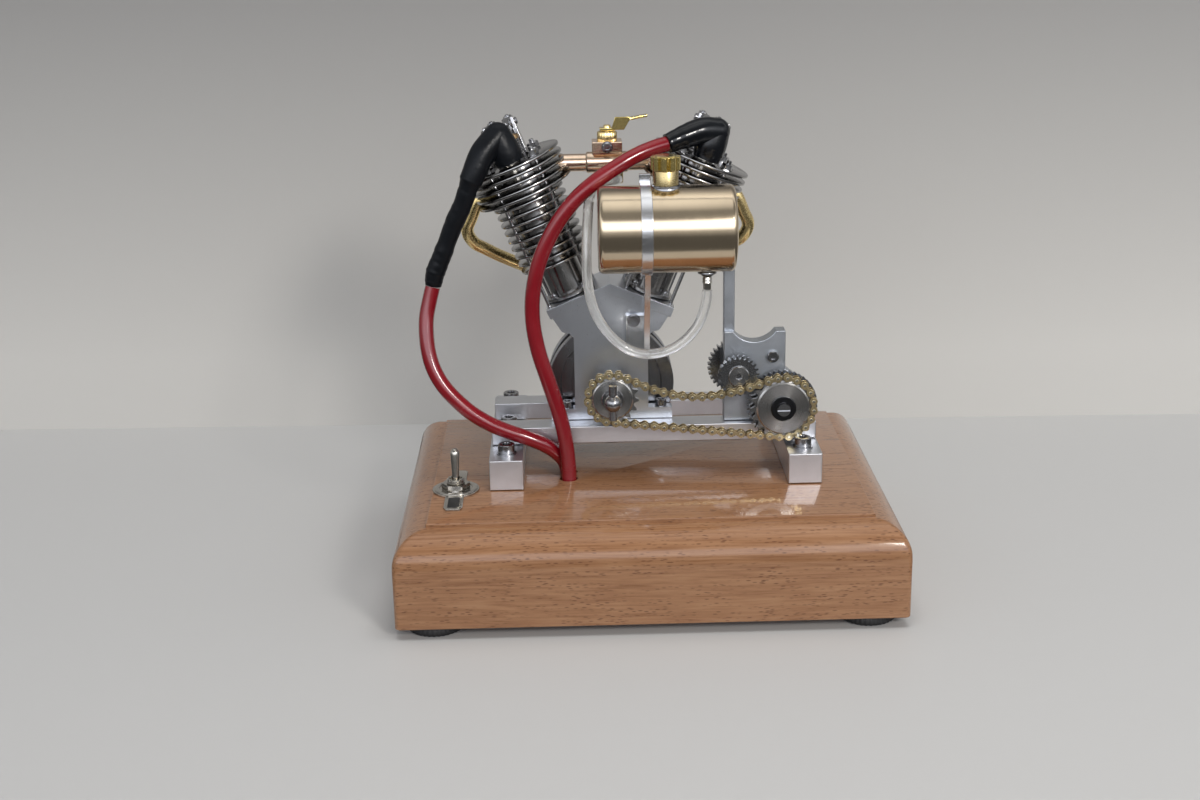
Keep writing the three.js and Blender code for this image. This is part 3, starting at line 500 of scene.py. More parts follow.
HOSE = [
    (19.7, -22.5, 99.6), (19.5, -22.6, 96.4), (18.3, -22.8, 92.1), (16.9, -23, 88.8), (14.7, -23, 85.8),
    (12.2, -23, 83.3), (9.3, -23, 81.3), (5, -23, 79.7), (0.4, -23, 79.3), (-4, -23, 80.3),
    (-7.6, -23, 82.4), (-11, -23, 85.7), (-13.9, -22.8, 89.7), (-15.9, -22.5, 93.8), (-17.2, -22, 98.5),
    (-17.9, -21.4, 104), (-18, -20.8, 110), (-17.8, -19.2, 116.2), (-17.4, -16.8, 121.8),
    (-16.9, -13.2, 126.4), (-15.6, -8.6, 129.6), (-13.2, -4, 130.9), (-10.3, -0.2, 130.9),
    (-8.2, 3.2, 130.5), (-7.1, 7, 130.2),
]


def make_cord(name, route, diameter, material, node):
    line = [p * MM for p in smooth_line(route, 4)]
    curve = bpy.data.curves.new(name, "CURVE")
    curve.dimensions = "3D"
    curve.bevel_depth = diameter * MM / 2
    curve.bevel_resolution = 8
    curve.use_fill_caps = True
    spline = curve.splines.new("POLY")
    spline.points.add(len(line) - 1)
    for point, at in zip(spline.points, line):
        point.co = (*at, 1)
    spline.use_smooth = True
    curve.materials.append(material)
    obj = add_object(name, curve)
    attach(obj, "frame")
    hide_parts(node)


make_cord("plug_lead_left", LEAD_LEFT, 5, LEAD_RED, "ht_lead_left")
make_cord("plug_lead_right", LEAD_RIGHT, 5, LEAD_RED, "ht_lead_right")
make_cord("tank_hose", HOSE, 3.2, HOSE_CLEAR, "fuel_hose")

# ---- wooden base ----
BASE_X, BASE_Y, FIELD = 80, 62, 34.6


def base_ring(inset, radius, z):
    """Outline of the base, set in by inset, with corners of that radius."""
    ring = []
    for sx, sy, start in ((1, -1, -90), (1, 1, 0), (-1, 1, 90), (-1, -1, 180)):
        corner = sx * (BASE_X - inset - radius), sy * (BASE_Y - inset - radius)
        ring += [(x, y, z) for x, y in circle(*corner, radius, 8, start, start + 90)]
    return ring


BORDER, SIDE_TOP, CORNER = 10.2, 23.2, 1.8
rings = [base_ring(0.3, CORNER - 0.3, 3.5), base_ring(0, CORNER, 3.8), base_ring(0, CORNER, SIDE_TOP - 0.6)]
for angle in (pi / 32 * k for k in range(16, -1, -1)):
    inset = BORDER * (1 - sin(angle))
    rings.append(base_ring(inset, CORNER * (1 - inset / BORDER) + 0.3, SIDE_TOP + BORDER * cos(angle)))
rings += [base_ring(BORDER + inset, 0.5, FIELD - drop) for inset, drop in ((0, 0.35), (0.1, 0.1), (0.35, 0))]
base = finish(Solid().loft(rings), "beech_base", WOOD, node="wooden_base", angle=28)
for x, y, depth in ((72, 38, 28), (75, 40.5, 6.5)):
    cut(base, Solid().box((-x, -y, 0), (x, y, depth)))
for y in (-7.5, -13.9):
    cut(base, Solid().lathe(drum(3, 26, 36), (-25.3, y, 0), n=32))
dress("bottom_cover", BOARD, 0.4)
dress("ignition_module", PLASTIC, 0.6)
for name in [n for n in nodes if n.startswith("rubber_foot_")]:
    (x0, y0, _), (x1, y1, _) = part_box(name)
    foot = Solid().lathe([(0, 0), (8.1, 0), (8.8, 0.3), (9.1, 0.9), (9.1, 2.7), (8.6, 3.2), (0, 3.3)],
                        ((x0 + x1) / 2 / MM, (y0 + y1) / 2 / MM, 0), n=144, ripple=(0.16, 36, 8.7))
    finish(foot, name.replace("rubber_foot", "ribbed_foot"), FOOT_RUBBER, node=name, angle=60)

# ---- bars of the engine bed, and their screws ----
for name in ("cross_foot_left", "cross_foot_right", "front_rail", "back_rail"):
    dress(name, BAR, 0.35)
bed_screws = Solid()
for x in (-45.4, 51.6):
    for y in (-17, 11.5, 40):
        bed_screws.screw((x, y, 44.9), UP, 5.5, 3, washer=3.3)
finish(bed_screws, "bed_screws", SCREW)

# ---- crankcase: a raised edge follows both slopes of its deck ----
dress("crankcase", CASE, 0.4)
HALF_DECK, DECK_RISE = 21, 32.95
chevron = []
for depth, order in ((0, 1), (3.3, -1)):
    top = (DECK_RISE - depth) / cos(LEAN)
    reach = HALF_DECK - depth * sin(LEAN)
    low = top - reach * tan(LEAN)
    chevron += [(CRANK.x + x, CRANK.z + z) for x, z in ((reach, low), (0, top), (-reach, low))][::order]
deck = Solid()
for low, high in ((-2.18, -1.9), (19.9, 20.18)):
    deck.prism(chevron, low, high)
finish(deck, "deck_edges", CASE, bevel=0.12, angle=35)
case_screws = Solid()
for x in (-25.1, 6.1):
    for y in (0.4, 17.6):
        case_screws.screw((x, y, 54.8), UP, 3.8, 2.2)
case_screws.screw((-2.9, -3.6, 85.4), FORWARD, 3.8, 1.6, washer=2.2)
case_screws.screw((42.6, -6.6, 73), FORWARD, 3.8, 1.6)
finish(case_screws, "case_screws", SCREW)


# ---- crankshaft and cam gear ----
def flywheel_profile(low, recess):
    """Turned disc with a raised rim on the side that recess points to."""
    high = low + 3.4
    face = [(2.4, 0), (6, 0), (6.3, 1), (16.6, 1), (17, 0), (20.7, 0), (21, 0.3)]
    if recess < 0:
        return [(0, low)] + [(r, low + h) for r, h in face] + [(21, high - 0.3), (20.7, high), (0, high)]
    return [(0, low), (20.7, low), (21, low + 0.3)] + [(r, high - h) for r, h in face[:0:-1]] + [(0, high)]


FLYWHEEL = turned_metal("flywheel_steel", (0.32, 0.32, 0.33), 0.24, CRANK)
SHAFT_STEEL = metal("shaft_steel", "steel", (0.45, 0.45, 0.46), 0.18, (200, 900, 200), 10, 0.08)
TIMING_MODULE, TIMING_TEETH, TIMING_FACE = 0.8, 12, (20.6, 23.6)
STARTER, IDLER, REDUCTION = 42, 24, 33
IDLER_GAP = 17.6
STARTER_MODULE = 2 * IDLER_GAP / (STARTER + IDLER)
front_half = Solid()
front_half.on_shaft(CRANK, flywheel_profile(3.1, -1), 96)
front_half.on_shaft(CRANK, drum(2.5, -17.2, 3.2, start=0.3))
ball = [pi * k / 12 for k in range(13)]
front_half.on_shaft(CRANK, [(2.9 * sin(a), -18.9 - 2.9 * cos(a)) for a in ball])
front_half.tube([(CRANK.x, -18.5, CRANK.z + end) for end in (-5.8, 5.8)], 1.3, 24)
finish(front_half, "front_flywheel_and_shaft", FLYWHEEL, "crank", "crank_front_half")
rear_half = Solid()
rear_half.on_shaft(CRANK, flywheel_profile(11.5, 1), 96)
rear_half.on_shaft(CRANK, drum(2.5, 14.8, 24.6, end=0.3))
finish(rear_half, "rear_flywheel_and_shaft", FLYWHEEL, "crank", "crank_rear_half")


def gear_outline(module, teeth, phase, wheel):
    """Teeth with curved flanks: each is traced from root to tip and back."""
    root, tip = teeth * module / 2 - 1.1 * module, teeth * module / 2 + 0.8 * module
    step = 2 * pi / teeth
    flank = [(0, 0.31), (0.12, 0.28), (0.35, 0.24), (0.6, 0.19), (0.85, 0.13), (1, 0.1)]
    points = []
    for i in range(teeth):
        for sign, order in ((-1, flank), (1, flank[::-1])):
            for rise, share in order:
                r = root + (tip - root) * rise
                angle = phase + step * (i + sign * share)
                points.append((wheel.x + r * cos(angle), wheel.z + r * sin(angle)))
    return points


pinion = Solid().prism(gear_outline(TIMING_MODULE, TIMING_TEETH, pi / 2, CRANK), *TIMING_FACE)
finish(pinion, "timing_pinion", GEAR_STEEL, "crank", bevel=0.12, angle=50, segments=1)
CAM = CRANK + Vector((0, 0, TIMING_MODULE * TIMING_TEETH * 1.5))
cam = Solid()
cam.prism(gear_outline(TIMING_MODULE, 2 * TIMING_TEETH, -pi / 2 + pi / 24, CAM), *TIMING_FACE)
cam.on_shaft(CAM, drum(1.8, 15.9, 29.6, end=0.3))
cam.prism([(CAM.x + 6 * x, CAM.z + 4.4 * z) for x, z in circle(0, 0, 1, 48)], 25, 28.4)
finish(cam, "cam_gear_and_lobe", GEAR_STEEL, "camshaft", "camshaft_gear", bevel=0.12, angle=50, segments=1)


# ---- the two cylinder banks, each in its own frame ----
def spring_points(x, y, low, high, radius, turns):
    circles = circle(x, y, radius, 20) * turns
    rise = (high - low) / len(circles)
    return [(u, v, low + rise * i) for i, (u, v) in enumerate(circles + circles[:1])]


def fins(radius, root, low, pitch, thickness, count):
    """Fins of a lathe profile, their rims rounded."""
    profile = []
    for i in range(count):
        z, top = low + pitch * i, low + pitch * i + thickness
        profile += [(root, z), (radius - 0.22, z), (radius - 0.06, z + 0.08), (radius, z + 0.22),
                    (radius, top - 0.22), (radius - 0.06, top - 0.08), (radius - 0.22, top), (root, top)]
    return profile


BARREL_FOOT = [(5.3, 33.1), (8.1, 33.1), (8.4, 33.4), (8.4, 34.3), (8.1, 34.6), (6.5, 34.6), (6.5, 45)]
HEAD_TOP = 81.1
ROCKER_S, ROCKER_Y = 91.3, 8.5
STEM_TOP = ROCKER_S - 1.6
STEM_Y, PUSHROD_Y = -1, 17.6
EXHAUST = [(9.6, 3, 75.4), (12.8, 3, 74.8), (16.6, 3, 72.3), (20.3, 3.5, 68.6), (22.9, 4, 66.1),
           (23.8, 4.5, 63.5), (23.2, 5.5, 60), (21.1, 7, 56.8), (17.6, 10, 51.6), (12.4, 13, 45.2)]
RETAINER = [(0.8, -2.5), (2.3, -2.5), (2.5, -2.3), (2.5, -1.4), (2.2, -1.1), (1.5, -1.1), (1.3, -0.7),
            (0.8, -0.7)]
ROCKER = [(-2.7, -1.1), (-2.2, -1.4), (0.2, -1.3), (6.3, -1.8), (8.5, -2), (10.7, -1.8), (16.3, -1.3),
          (18.6, -1.3), (19.1, -0.7), (18.8, 0.4), (16.5, 0.8), (10.9, 1.8), (8.5, 2.1), (6.1, 1.8),
          (0.5, 0.9), (-2.3, 0.5), (-2.9, -0.2)]


def make_cylinder(name, side):
    place = bank(side)
    steel = cylinder_steel("barrel_steel_" + name, side, (0.33, 0.325, 0.32), 0.18)
    barrel = Solid(place)
    profile = BARREL_FOOT + fins(12.25, 7.6, 45.5, 2.75, 0.78, 9) + [(7.6, 69.8), (5.3, 69.8)]
    barrel.lathe(profile, n=96, closed=True)
    finish(barrel, "barrel_" + name, steel, node="cylinder_" + name, angle=40)
    head = Solid(place).lathe([(0, 70)] + fins(16.2, 9.2, 70.1, 2.5, 0.9, 5) + [(0, HEAD_TOP)], n=128)
    finish(head, "finned_head_" + name, steel, node="cylinder_head_" + name, angle=40)
    studs = Solid(place)
    for sx in (-1, 1):
        for sy in (-1, 1):
            x, y = 7.8 * sx, 7.8 * sy
            studs.lathe(drum(0.6, 33, 82), (x, y, 0), n=20)
            studs.nut((x, y, HEAD_TOP), 1.75, 1.7, 0.8, 1.2)
            studs.nut((5.4 * sx, 5.4 * sy, 34.6), 1.2, 1.2, 0.6, 0.7)
    finish(studs, "head_studs_" + name, POLISHED)
    dress("piston_" + name, BAR, 0.2)
    dress("connecting_rod_" + name, SHAFT_STEEL, 0.15)
    dress("rocker_stand_" + name, POLISHED, 0.18)
    dress("spark_plug_" + name, NICKEL, 0.15)
    pin_screws = Solid(place)
    for sx in (-1, 1):
        pin_screws.screw((5.4 * sx, ROCKER_Y, ROCKER_S), (sx, 0, 0), 2.4, 0.9)
    finish(pin_screws, "rocker_pin_screws_" + name, SCREW)
    pipe = Solid(place).tube(smooth_line([(side * u, y, s) for u, y, s in EXHAUST], 6), 2.1, 28)
    finish(pipe, "bent_exhaust_" + name, BRASS, node="exhaust_pipe_" + name, angle=40)
    make_valve(place, name, "intake", -side * 2.9, (-side * 6, PUSHROD_Y, 20.2))
    make_valve(place, name, "exhaust", side * 2.9, (-side * 0.2, PUSHROD_Y, 17.8))


def make_valve(place, name, valve, x, pushrod_foot):
    """One valve with its spring, rocker and pushrod."""
    key = f"{valve}_{name}"
    profile = [(0, 75.5), (0.8, 75.5), (0.8, STEM_TOP - 0.3), (0.6, STEM_TOP), (0, STEM_TOP)]
    stem = Solid(place).lathe(profile, (x, STEM_Y, 0), n=24)
    finish(stem, "stem_" + key, POLISHED, "valve_" + key, f"{valve}_valve_{name}")
    profile = [(r, STEM_TOP + h) for r, h in RETAINER]
    retainer = Solid(place).lathe(profile, (x, STEM_Y, 0), n=36, closed=True)
    finish(retainer, "retainer_" + key, COPPER, "valve_" + key)
    coil = Solid(place).tube(spring_points(x, STEM_Y, 81.4, STEM_TOP - 2.7, 1.85, 6), 0.32, 8)
    spring = finish(coil, "spring_" + key, POLISHED, angle=60)
    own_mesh(spring)
    arm = Solid(place).prism([(y, ROCKER_S + rise) for y, rise in ROCKER], x - 1.1, x + 1.1, axis="X")
    rocker = f"{valve}_rocker_{name}"
    finish(arm, "rocker_arm_" + key, GEAR_STEEL, "rocker_" + key, rocker, bevel=0.22, angle=25)
    adjuster = Solid(place)
    adjuster.nut((x, PUSHROD_Y, ROCKER_S + 0.6), 1.25, 0.9, 0.6, 0.5)
    adjuster.nut((x, STEM_Y, ROCKER_S + 0.6), 1.25, 0.9, 0.6, 0.4)
    boss = [(1, x - 1.35), (1.9, x - 1.35), (1.9, x + 1.35), (1, x + 1.35)]
    adjuster.lathe(boss, (0, ROCKER_Y, ROCKER_S), "X", 32, closed=True)
    finish(adjuster, "adjusters_" + key, SCREW, "rocker_" + key)
    push = Solid(place)
    a, b = Vector(pushrod_foot), Vector((x, PUSHROD_Y, STEM_TOP))
    push.tube([a.lerp(b, t) for t in (0, 0.01, 0.03, 0.97, 0.99, 1)], [0.7, 0.9, 0.9, 0.9, 0.9, 0.7], 20)
    finish(push, "rod_" + key, POLISHED, "pushrod_" + key, f"{valve}_pushrod_{name}", angle=40)


make_cylinder("left", -1)
make_cylinder("right", 1)


# ---- plug caps ----
def make_cap(name, side, arm, leg_radii, arm_radii, folds, material):
    """A leg up from the plug, a round knee, and an arm. folds lists (share of the arm, height)."""
    solid = Solid()
    start, end = (bank(side) @ Vector((0, -9, s)) for s in (81.8, 91.3))
    solid.tube([start.lerp(end, k / 8) for k in range(9)], spread_values(leg_radii, 9), 40)
    line = smooth_line([end] + arm, 14)
    radii = spread_values(arm_radii, len(line))
    for k in range(len(radii)):
        radii[k] += sum(height * exp(-((k / len(radii) - at) / 0.012) ** 2) for at, height in folds)
    solid.tube(line, radii, 40)
    knee = [pi * k / 16 for k in range(17)]
    solid.lathe([(4.3 * sin(a), -4.3 * cos(a)) for a in knee], end, n=40)
    finish(solid, "boot_" + name, material, node="plug_cap_" + name, angle=70)


make_cap("left", -1, [(-50.2, -3.2, 140.9), (-52.9, -5, 135.4), (-54.7, -5.3, 131.4), (-57.2, -4.5, 124.8),
                      (-60.4, -3.2, 118.2), (-64.5, -2.1, 108.2), (-67, -2, 102.4), (-67.9, -2, 98.2)],
         [4.4, 5, 5, 4.7, 4.3], [4.3, 4.2, 4, 3.8, 3.15, 3, 3.15, 2.9, 3.2, 3.05, 2.7],
         [(0.33, 0.2), (0.4, -0.15), (0.52, 0.12), (0.62, -0.12), (0.72, 0.2), (0.78, -0.15), (0.86, 0.18),
          (0.95, 0.15)], CAP_MATTE)
make_cap("right", 1, [(19.8, -1.8, 146.6), (14, -4, 145.2), (8.4, -6, 143.4)],
         [4.3, 4.9, 5.1, 4.8, 4.3], [4.3, 4.35, 4.3, 4.1, 3.8, 3.4, 3.1], [(0.5, -0.06), (0.97, 0.1)],
         CAP_GLOSS)

# ---- intake pipe, carburettor and throttle ----
PORT_Y, CARB_X, CARB_Z, CARB_TOP = 9, -10.4, 135.5, 142.6
pipe = Solid()
pipe.lathe([(0, -26.2), (2.6, -26.2), (2.85, -25.9), (2.85, -17.4), (3.3, -17.1), (3.45, -16.8),
            (3.45, -4.2), (3.3, -3.9), (2.85, -3.6), (2.85, 5.5), (2.6, 5.8), (0, 5.8)],
           (0, PORT_Y, CARB_Z), "X", 48)
finish(pipe, "intake_pipe", ROSE_BRASS, node="intake_manifold")
block = Solid()
block.box((-15.3, 6.9, CARB_Z), (-5.5, 11.1, 139.3))
block.box((-15.3, 5, 139.2), (-5.5, 13, CARB_TOP))
finish(block, "carburettor_block", ROSE_BRASS, node="carburettor_body", bevel=0.3, angle=35)
inlet = Solid()
inlet.lathe([(0, 128.6), (1.5, 128.6), (1.8, 128.9), (1.8, 134), (0, 134)], (-7, PORT_Y, 0), n=32)
inlet.tube([(-7, 7.3, 130.2), (-7, PORT_Y, 130.2)], 1.3, 24)
finish(inlet, "fuel_inlet", BRASS)
needle = Solid()
needle.lathe([(0, 142.5), (3, 142.5), (3.1, 142.8), (3.1, 145.2), (2.8, 145.6), (0, 145.6)],
             (CARB_X + 0.1, PORT_Y, 0), n=96, ripple=(0.12, 24, 2.9))
needle.lathe(drum(1.2, 145.5, 147.6, end=0.3), (CARB_X + 0.1, PORT_Y, 0), n=24)
finish(needle, "needle_nut", BRASS, angle=50)
finish(Solid().screw((CARB_X, 5, 141), FORWARD, 3.1, 1.4, washer=1.9), "block_screw", POLISHED)
lever = Solid()
lever.prism([(-12.7, 145.9), (-7.9, 145.9), (-3.8, 148.9), (2.7, 150.1), (2.7, 150.8), (-4.2, 149.7),
             (-8.3, 146.7), (-12.7, 146.7)], 7.1, 10.9)
lever.prism([(-9, 146.1), (-4.8, 146.1), (-2.9, 149.3), (-2.9, 150.3), (-7.7, 150.3)], 7, 7.6)
throttle = finish(lever, "throttle_blade", PALE_BRASS, "throttle", "throttle_lever", bevel=0.15, angle=35)
cut(throttle, Solid().box((-4, 9.9, 140), (4, 14, 155)))

# ---- tank, filler cap and band ----
TANK_Y, TANK_Z = -22.5, 119.5
NECK_AT, OUTLET_AT = (6.85, TANK_Y, 0), (19.7, TANK_Y, 0)
TANK_AT = (0, TANK_Y, TANK_Z)
rim = [(11.8 + 1.8 * sin(a), 1.8 * (1 - cos(a))) for a in (pi / 12 * k for k in range(1, 7))]
left_end = [(0, -14.5), (9, -14.5), (11.8, -14.4)] + [(r, -14.4 + h) for r, h in rim]
tank = Solid().lathe(left_end + [(r, 13.9 - x) for r, x in reversed(left_end)], TANK_AT, "X", 128)
finish(tank, "tank_shell", TANK_BRASS, node="fuel_tank", angle=40)
outlet = Solid()
outlet.lathe([(0, 100), (1.2, 100), (1.3, 100.6), (1.3, 102), (1.6, 102.2), (1.3, 103), (1.6, 103.2),
              (1.3, 104), (1.6, 104.2), (2.4, 105), (2.4, 107.2), (0, 107.2)], OUTLET_AT, n=32)
finish(outlet, "tank_outlet", NICKEL, angle=40)
solder = Solid()
solder.lathe([(0, 131.8), (4.9, 131.8), (4.9, 132.7), (4.6, 133.1), (4.2, 133.5), (0, 133.6)], NECK_AT, n=48)
solder.lathe([(0, 105.2), (3, 105.2), (3, 105.7), (2.5, 106.3), (0, 106.3)], OUTLET_AT, n=32)
finish(solder, "solder_fillets", SCREW, angle=60)
neck = Solid().lathe([(0, 131.5), (4, 131.5), (4.05, 137.8), (3.9, 138), (0, 138)], NECK_AT)
finish(neck, "tank_neck", NECK_BRASS, angle=40)
GROOVES = 9
groove_step = 2 * pi / GROOVES
outline = []
for angle in (2 * pi * i / 160 for i in range(160)):
    from_groove = abs((angle / groove_step + 0.5) % 1 - 0.5) * groove_step
    r = 4.7 - 1.3 * exp(-(from_groove / 0.12) ** 2)
    outline.append((NECK_AT[0] + r * cos(angle), TANK_Y + r * sin(angle)))
cap = Solid()
cap.prism(outline, 138.2, 142.2, axis="Z")
cap.lathe([(0, 142.1), (3.6, 142.1), (3.4, 142.5), (0, 142.5)], NECK_AT, n=48)
cap.lathe(drum(2.8, 134.5, 138.3), NECK_AT, n=32)
finish(cap, "knurled_filler_cap", PALE_BRASS, "cap", "filler_cap", bevel=0.15, angle=40)
band = Solid()
strip = [(13.65, -1.3), (14.25, -1.3), (14.4, -1.15), (14.4, 2.15), (14.25, 2.3), (13.65, 2.3)]
band.lathe(strip, TANK_AT, "X", 128, True)
band.box((-1.3, TANK_Y + 2.4, 132.6), (2.3, TANK_Y + 4.2, 136.3))
band.prism([(-2.3, 75), (-2.3, 87), (TANK_Y + 9, 108), (TANK_Y - 1, 106.4), (TANK_Y - 1, 105.3),
            (TANK_Y + 4, 105.2), (-7, 84), (-6, 75)], 0.4, 2.3, axis="X")
band.box((-5.4, -3.6, 75), (2.3, -2.2, 87))
finish(band, "tank_band_and_arm", BRIGHT_STRIP, node="tank_bracket", bevel=0.15, angle=35)

# ---- chain drive ----
PITCH, LINKS, SMALL, LARGE = 3.175, 54, 16, 20
CHAIN_Y = DRIVE.y


def wheel_radius(teeth):
    return PITCH / (2 * sin(pi / teeth))


def wheel_point(wheel, radius, angle):
    return Vector((wheel.x + radius * cos(angle), wheel.z + radius * sin(angle)))


def loop_length(points):
    return sum(dist(p, q) for p, q in zip(points, points[1:] + points[:1]))


def chain_loop(lean):
    """Centre line of the closed chain: tight below, and slack above by lean."""
    small, large = wheel_radius(SMALL), wheel_radius(LARGE)
    dx, dz = DRIVE.x - CRANK.x, DRIVE.z - CRANK.z
    slope = atan2(dz, dx)
    lower = slope - pi / 2 - asin((large - small) / hypot(dx, dz))
    upper_large, upper_small = slope + pi / 2 + lean, slope + pi / 2 - lean

    def arc(wheel, radius, start, end):
        return [wheel_point(wheel, radius, start + (end - start) * i / 60) for i in range(61)]
    points = arc(DRIVE, large, lower, upper_large)
    start, end = points[-1], wheel_point(CRANK, small, upper_small)
    reach = (end - start).length * 0.42
    p1 = start + Vector((-sin(upper_large), cos(upper_large))) * reach
    p2 = end - Vector((-sin(upper_small), cos(upper_small))) * reach
    for t in (k / 60 for k in range(1, 60)):
        u = 1 - t
        points.append(start * u ** 3 + p1 * 3 * t * u ** 2 + p2 * 3 * t * t * u + end * t ** 3)
    points += arc(CRANK, small, upper_small, lower + 2 * pi)
    first, last = points[0], points[-1]
    return points + [last.lerp(first, k / 60) for k in range(1, 60)]


def pin_places():
    """Slack that fits the number of links, and then one place for each link, a pitch of line apart."""
    low, high = 0, 1
    for _ in range(40):
        middle = (low + high) / 2
        if loop_length(chain_loop(middle)) < LINKS * PITCH:
            low = middle
        else:
            high = middle
    line = chain_loop(low)
    step = loop_length(line) / LINKS
    places, walked, wanted = [], 0, 0
    for p, q in zip(line, line[1:] + line[:1]):
        run = dist(p, q)
        while wanted < walked + run and len(places) < LINKS:
            places.append(p.lerp(q, (wanted - walked) / run))
            wanted += step
        walked += run
    return places


pins = pin_places()
outer, inner, rivets = Solid(), Solid(), Solid()
for i, (a, b) in enumerate(zip(pins, pins[1:] + pins[:1])):
    along = b - a
    heading = degrees(atan2(along.y, along.x))
    waist = Vector((-along.y, along.x)).normalized() * 0.5
    middle = (a + b) / 2
    plate = (circle(*b, 1.3, 10, heading - 100, heading + 100) + [middle + waist]
             + circle(*a, 1.3, 10, heading + 80, heading + 280) + [middle - waist])
    links, near, far = (outer, 0.98, 1.3) if i % 2 else (inner, 0.6, 0.92)
    links.prism(plate, CHAIN_Y - far, CHAIN_Y - near)
    links.prism(plate, CHAIN_Y + near, CHAIN_Y + far)
    pin_at = (a.x, CHAIN_Y, a.y)
    rivet = [(0, -1.48), (0.42, -1.48), (0.55, -1.36), (0.55, 1.36), (0.42, 1.48), (0, 1.48)]
    rivets.lathe(rivet, pin_at, "Y", 16)
    inner.lathe(drum(0.86, -0.58, 0.58), pin_at, "Y", 20)
# The inner plates and rollers wear the darker brass of painted shade.
finish(inner, "inner_links_and_rollers", CHAIN_SHADED_INNER, bevel=0.08, angle=50, segments=1)
finish(rivets, "chain_rivets", CHAIN_PIN)
finish(outer, "roller_chain", CHAIN_GOLD, node="drive_chain", bevel=0.08, angle=50, segments=1)


def sprocket_outline(wheel, teeth):
    """Roller seats round the pins that lie on the wheel, and a tooth between each two, in order round it."""
    radius, centre = wheel_radius(teeth), Vector((wheel.x, wheel.z))
    nearest = min(pins, key=lambda p: abs(dist(p, centre) - radius) + (0 if p.y < wheel.z else 5))
    step = 2 * pi / teeth
    points = []
    for i in range(teeth):
        gap = atan2(*(nearest - centre).yx) + step * i
        seat = wheel_point(wheel, radius, gap)
        for k in range(9):
            angle = gap + pi + radians(68 - 17 * k)
            points.append(seat + Vector((cos(angle), sin(angle))) * 0.95)
        for share, rise in ((0.4, 0.35), (0.46, 0.62), (0.54, 0.62), (0.6, 0.35)):
            points.append(wheel_point(wheel, radius + rise, gap + step * share))
    return sorted(points, key=lambda p: atan2(*(p - centre).yx))


def make_sprocket(name, wheel, teeth, body, node):
    disc = Solid()
    disc.prism(sprocket_outline(wheel, teeth), CHAIN_Y - 0.45, CHAIN_Y + 0.45)
    rim = wheel_radius(teeth) - 1.35
    profile = [(0, -15.1), (rim * 0.3, -15.1), (rim * 0.31, -14.95), (rim * 0.42, -14.95)]
    profile += [(rim * 0.43, -15.1), (rim - 0.5, -15.1), (rim, -14.7), (rim, -12.4), (rim - 0.4, -11.95),
                (0, -11.95)]
    disc.on_shaft(wheel, profile, 96)
    if body == "crank":
        disc.on_shaft(wheel, drum(4.2, -12.5, -4, end=0.3), 48)
    steel = turned_metal(name + "_steel", (0.5, 0.495, 0.485), 0.24, wheel, 0.85)
    finish(disc, name, steel, body, node)


make_sprocket("small_sprocket", CRANK, SMALL, "crank", "crank_sprocket")
make_sprocket("large_sprocket", DRIVE, LARGE, "drive", "drive_sprocket")
collar = [(2.3, -15), (2.3, -15.9), (3.8, -15.9), (4.1, -15.6), (4.1, -15)]
finish(Solid().on_shaft(DRIVE, collar, 64, True), "hub_collar", BLACK_STEEL, "drive")
collar = [(2.9, -15.1), (2.9, -15.45), (3.5, -15.45), (3.7, -15.25), (3.7, -15.1)]
finish(Solid().on_shaft(CRANK, collar, 48, True), "crank_collar", SCREW, "crank")

# ---- starter gearing ----
IDLER_AT = Vector((31, 0, DRIVE.z + sqrt(IDLER_GAP ** 2 - (DRIVE.x - 31) ** 2)))
STARTER_FACE, HELIX = (-11.6, -9.5), 0.12
mesh_angle = atan2(IDLER_AT.z - DRIVE.z, IDLER_AT.x - DRIVE.x)
starter = Solid()
starter.prism(gear_outline(STARTER_MODULE, STARTER, mesh_angle, DRIVE), *STARTER_FACE,
              twist=HELIX * IDLER / STARTER, centre=DRIVE)
starter.on_shaft(DRIVE, drum(2, -16.2, 0.5, end=0.3))
finish(starter, "starter_wheel", GEAR_STEEL, "starter", "starter_gear")
shaft_screw = Solid()
edge = degrees(asin(0.38 / 2.1))
for turn in (180, 0):
    shaft_screw.prism(circle(DRIVE.x, DRIVE.z, 2.1, 20, turn + edge, turn + 180 - edge), -17, -16.3)
shaft_screw.on_shaft(DRIVE, drum(2.1, -16.4, -15.5), 40)
finish(shaft_screw, "slotted_shaft_screw", POLISHED, "starter")
hub = Solid()
hub.on_shaft(IDLER_AT, [(0, -11.5), (0.9, -11.5), (0.9, -12.2), (1.1, -12.4), (3.2, -12.4), (3.5, -12.1),
                        (3.5, -11.5), (0, -11.4)], 64)
finish(hub, "idler_hub", turned_metal("idler_hub_steel", (0.5, 0.5, 0.5), 0.18, IDLER_AT), "idler")
idler = Solid()
idler.prism(gear_outline(STARTER_MODULE, IDLER, mesh_angle + pi + pi / IDLER, IDLER_AT), *STARTER_FACE,
            twist=-HELIX, centre=IDLER_AT)
shaft = [(0, -11.4), (3.4, -11.4), (3.4, -7.4), (1.6, -7.4), (1.6, 2.8), (1.3, 3), (0, 3)]
idler.on_shaft(IDLER_AT, shaft, 40)
idler.prism(gear_outline(STARTER_MODULE, REDUCTION, 0, IDLER_AT), 0.2, 2.6)
finish(idler, "idler_wheels", GEAR_STEEL, "idler", "idler_gear")

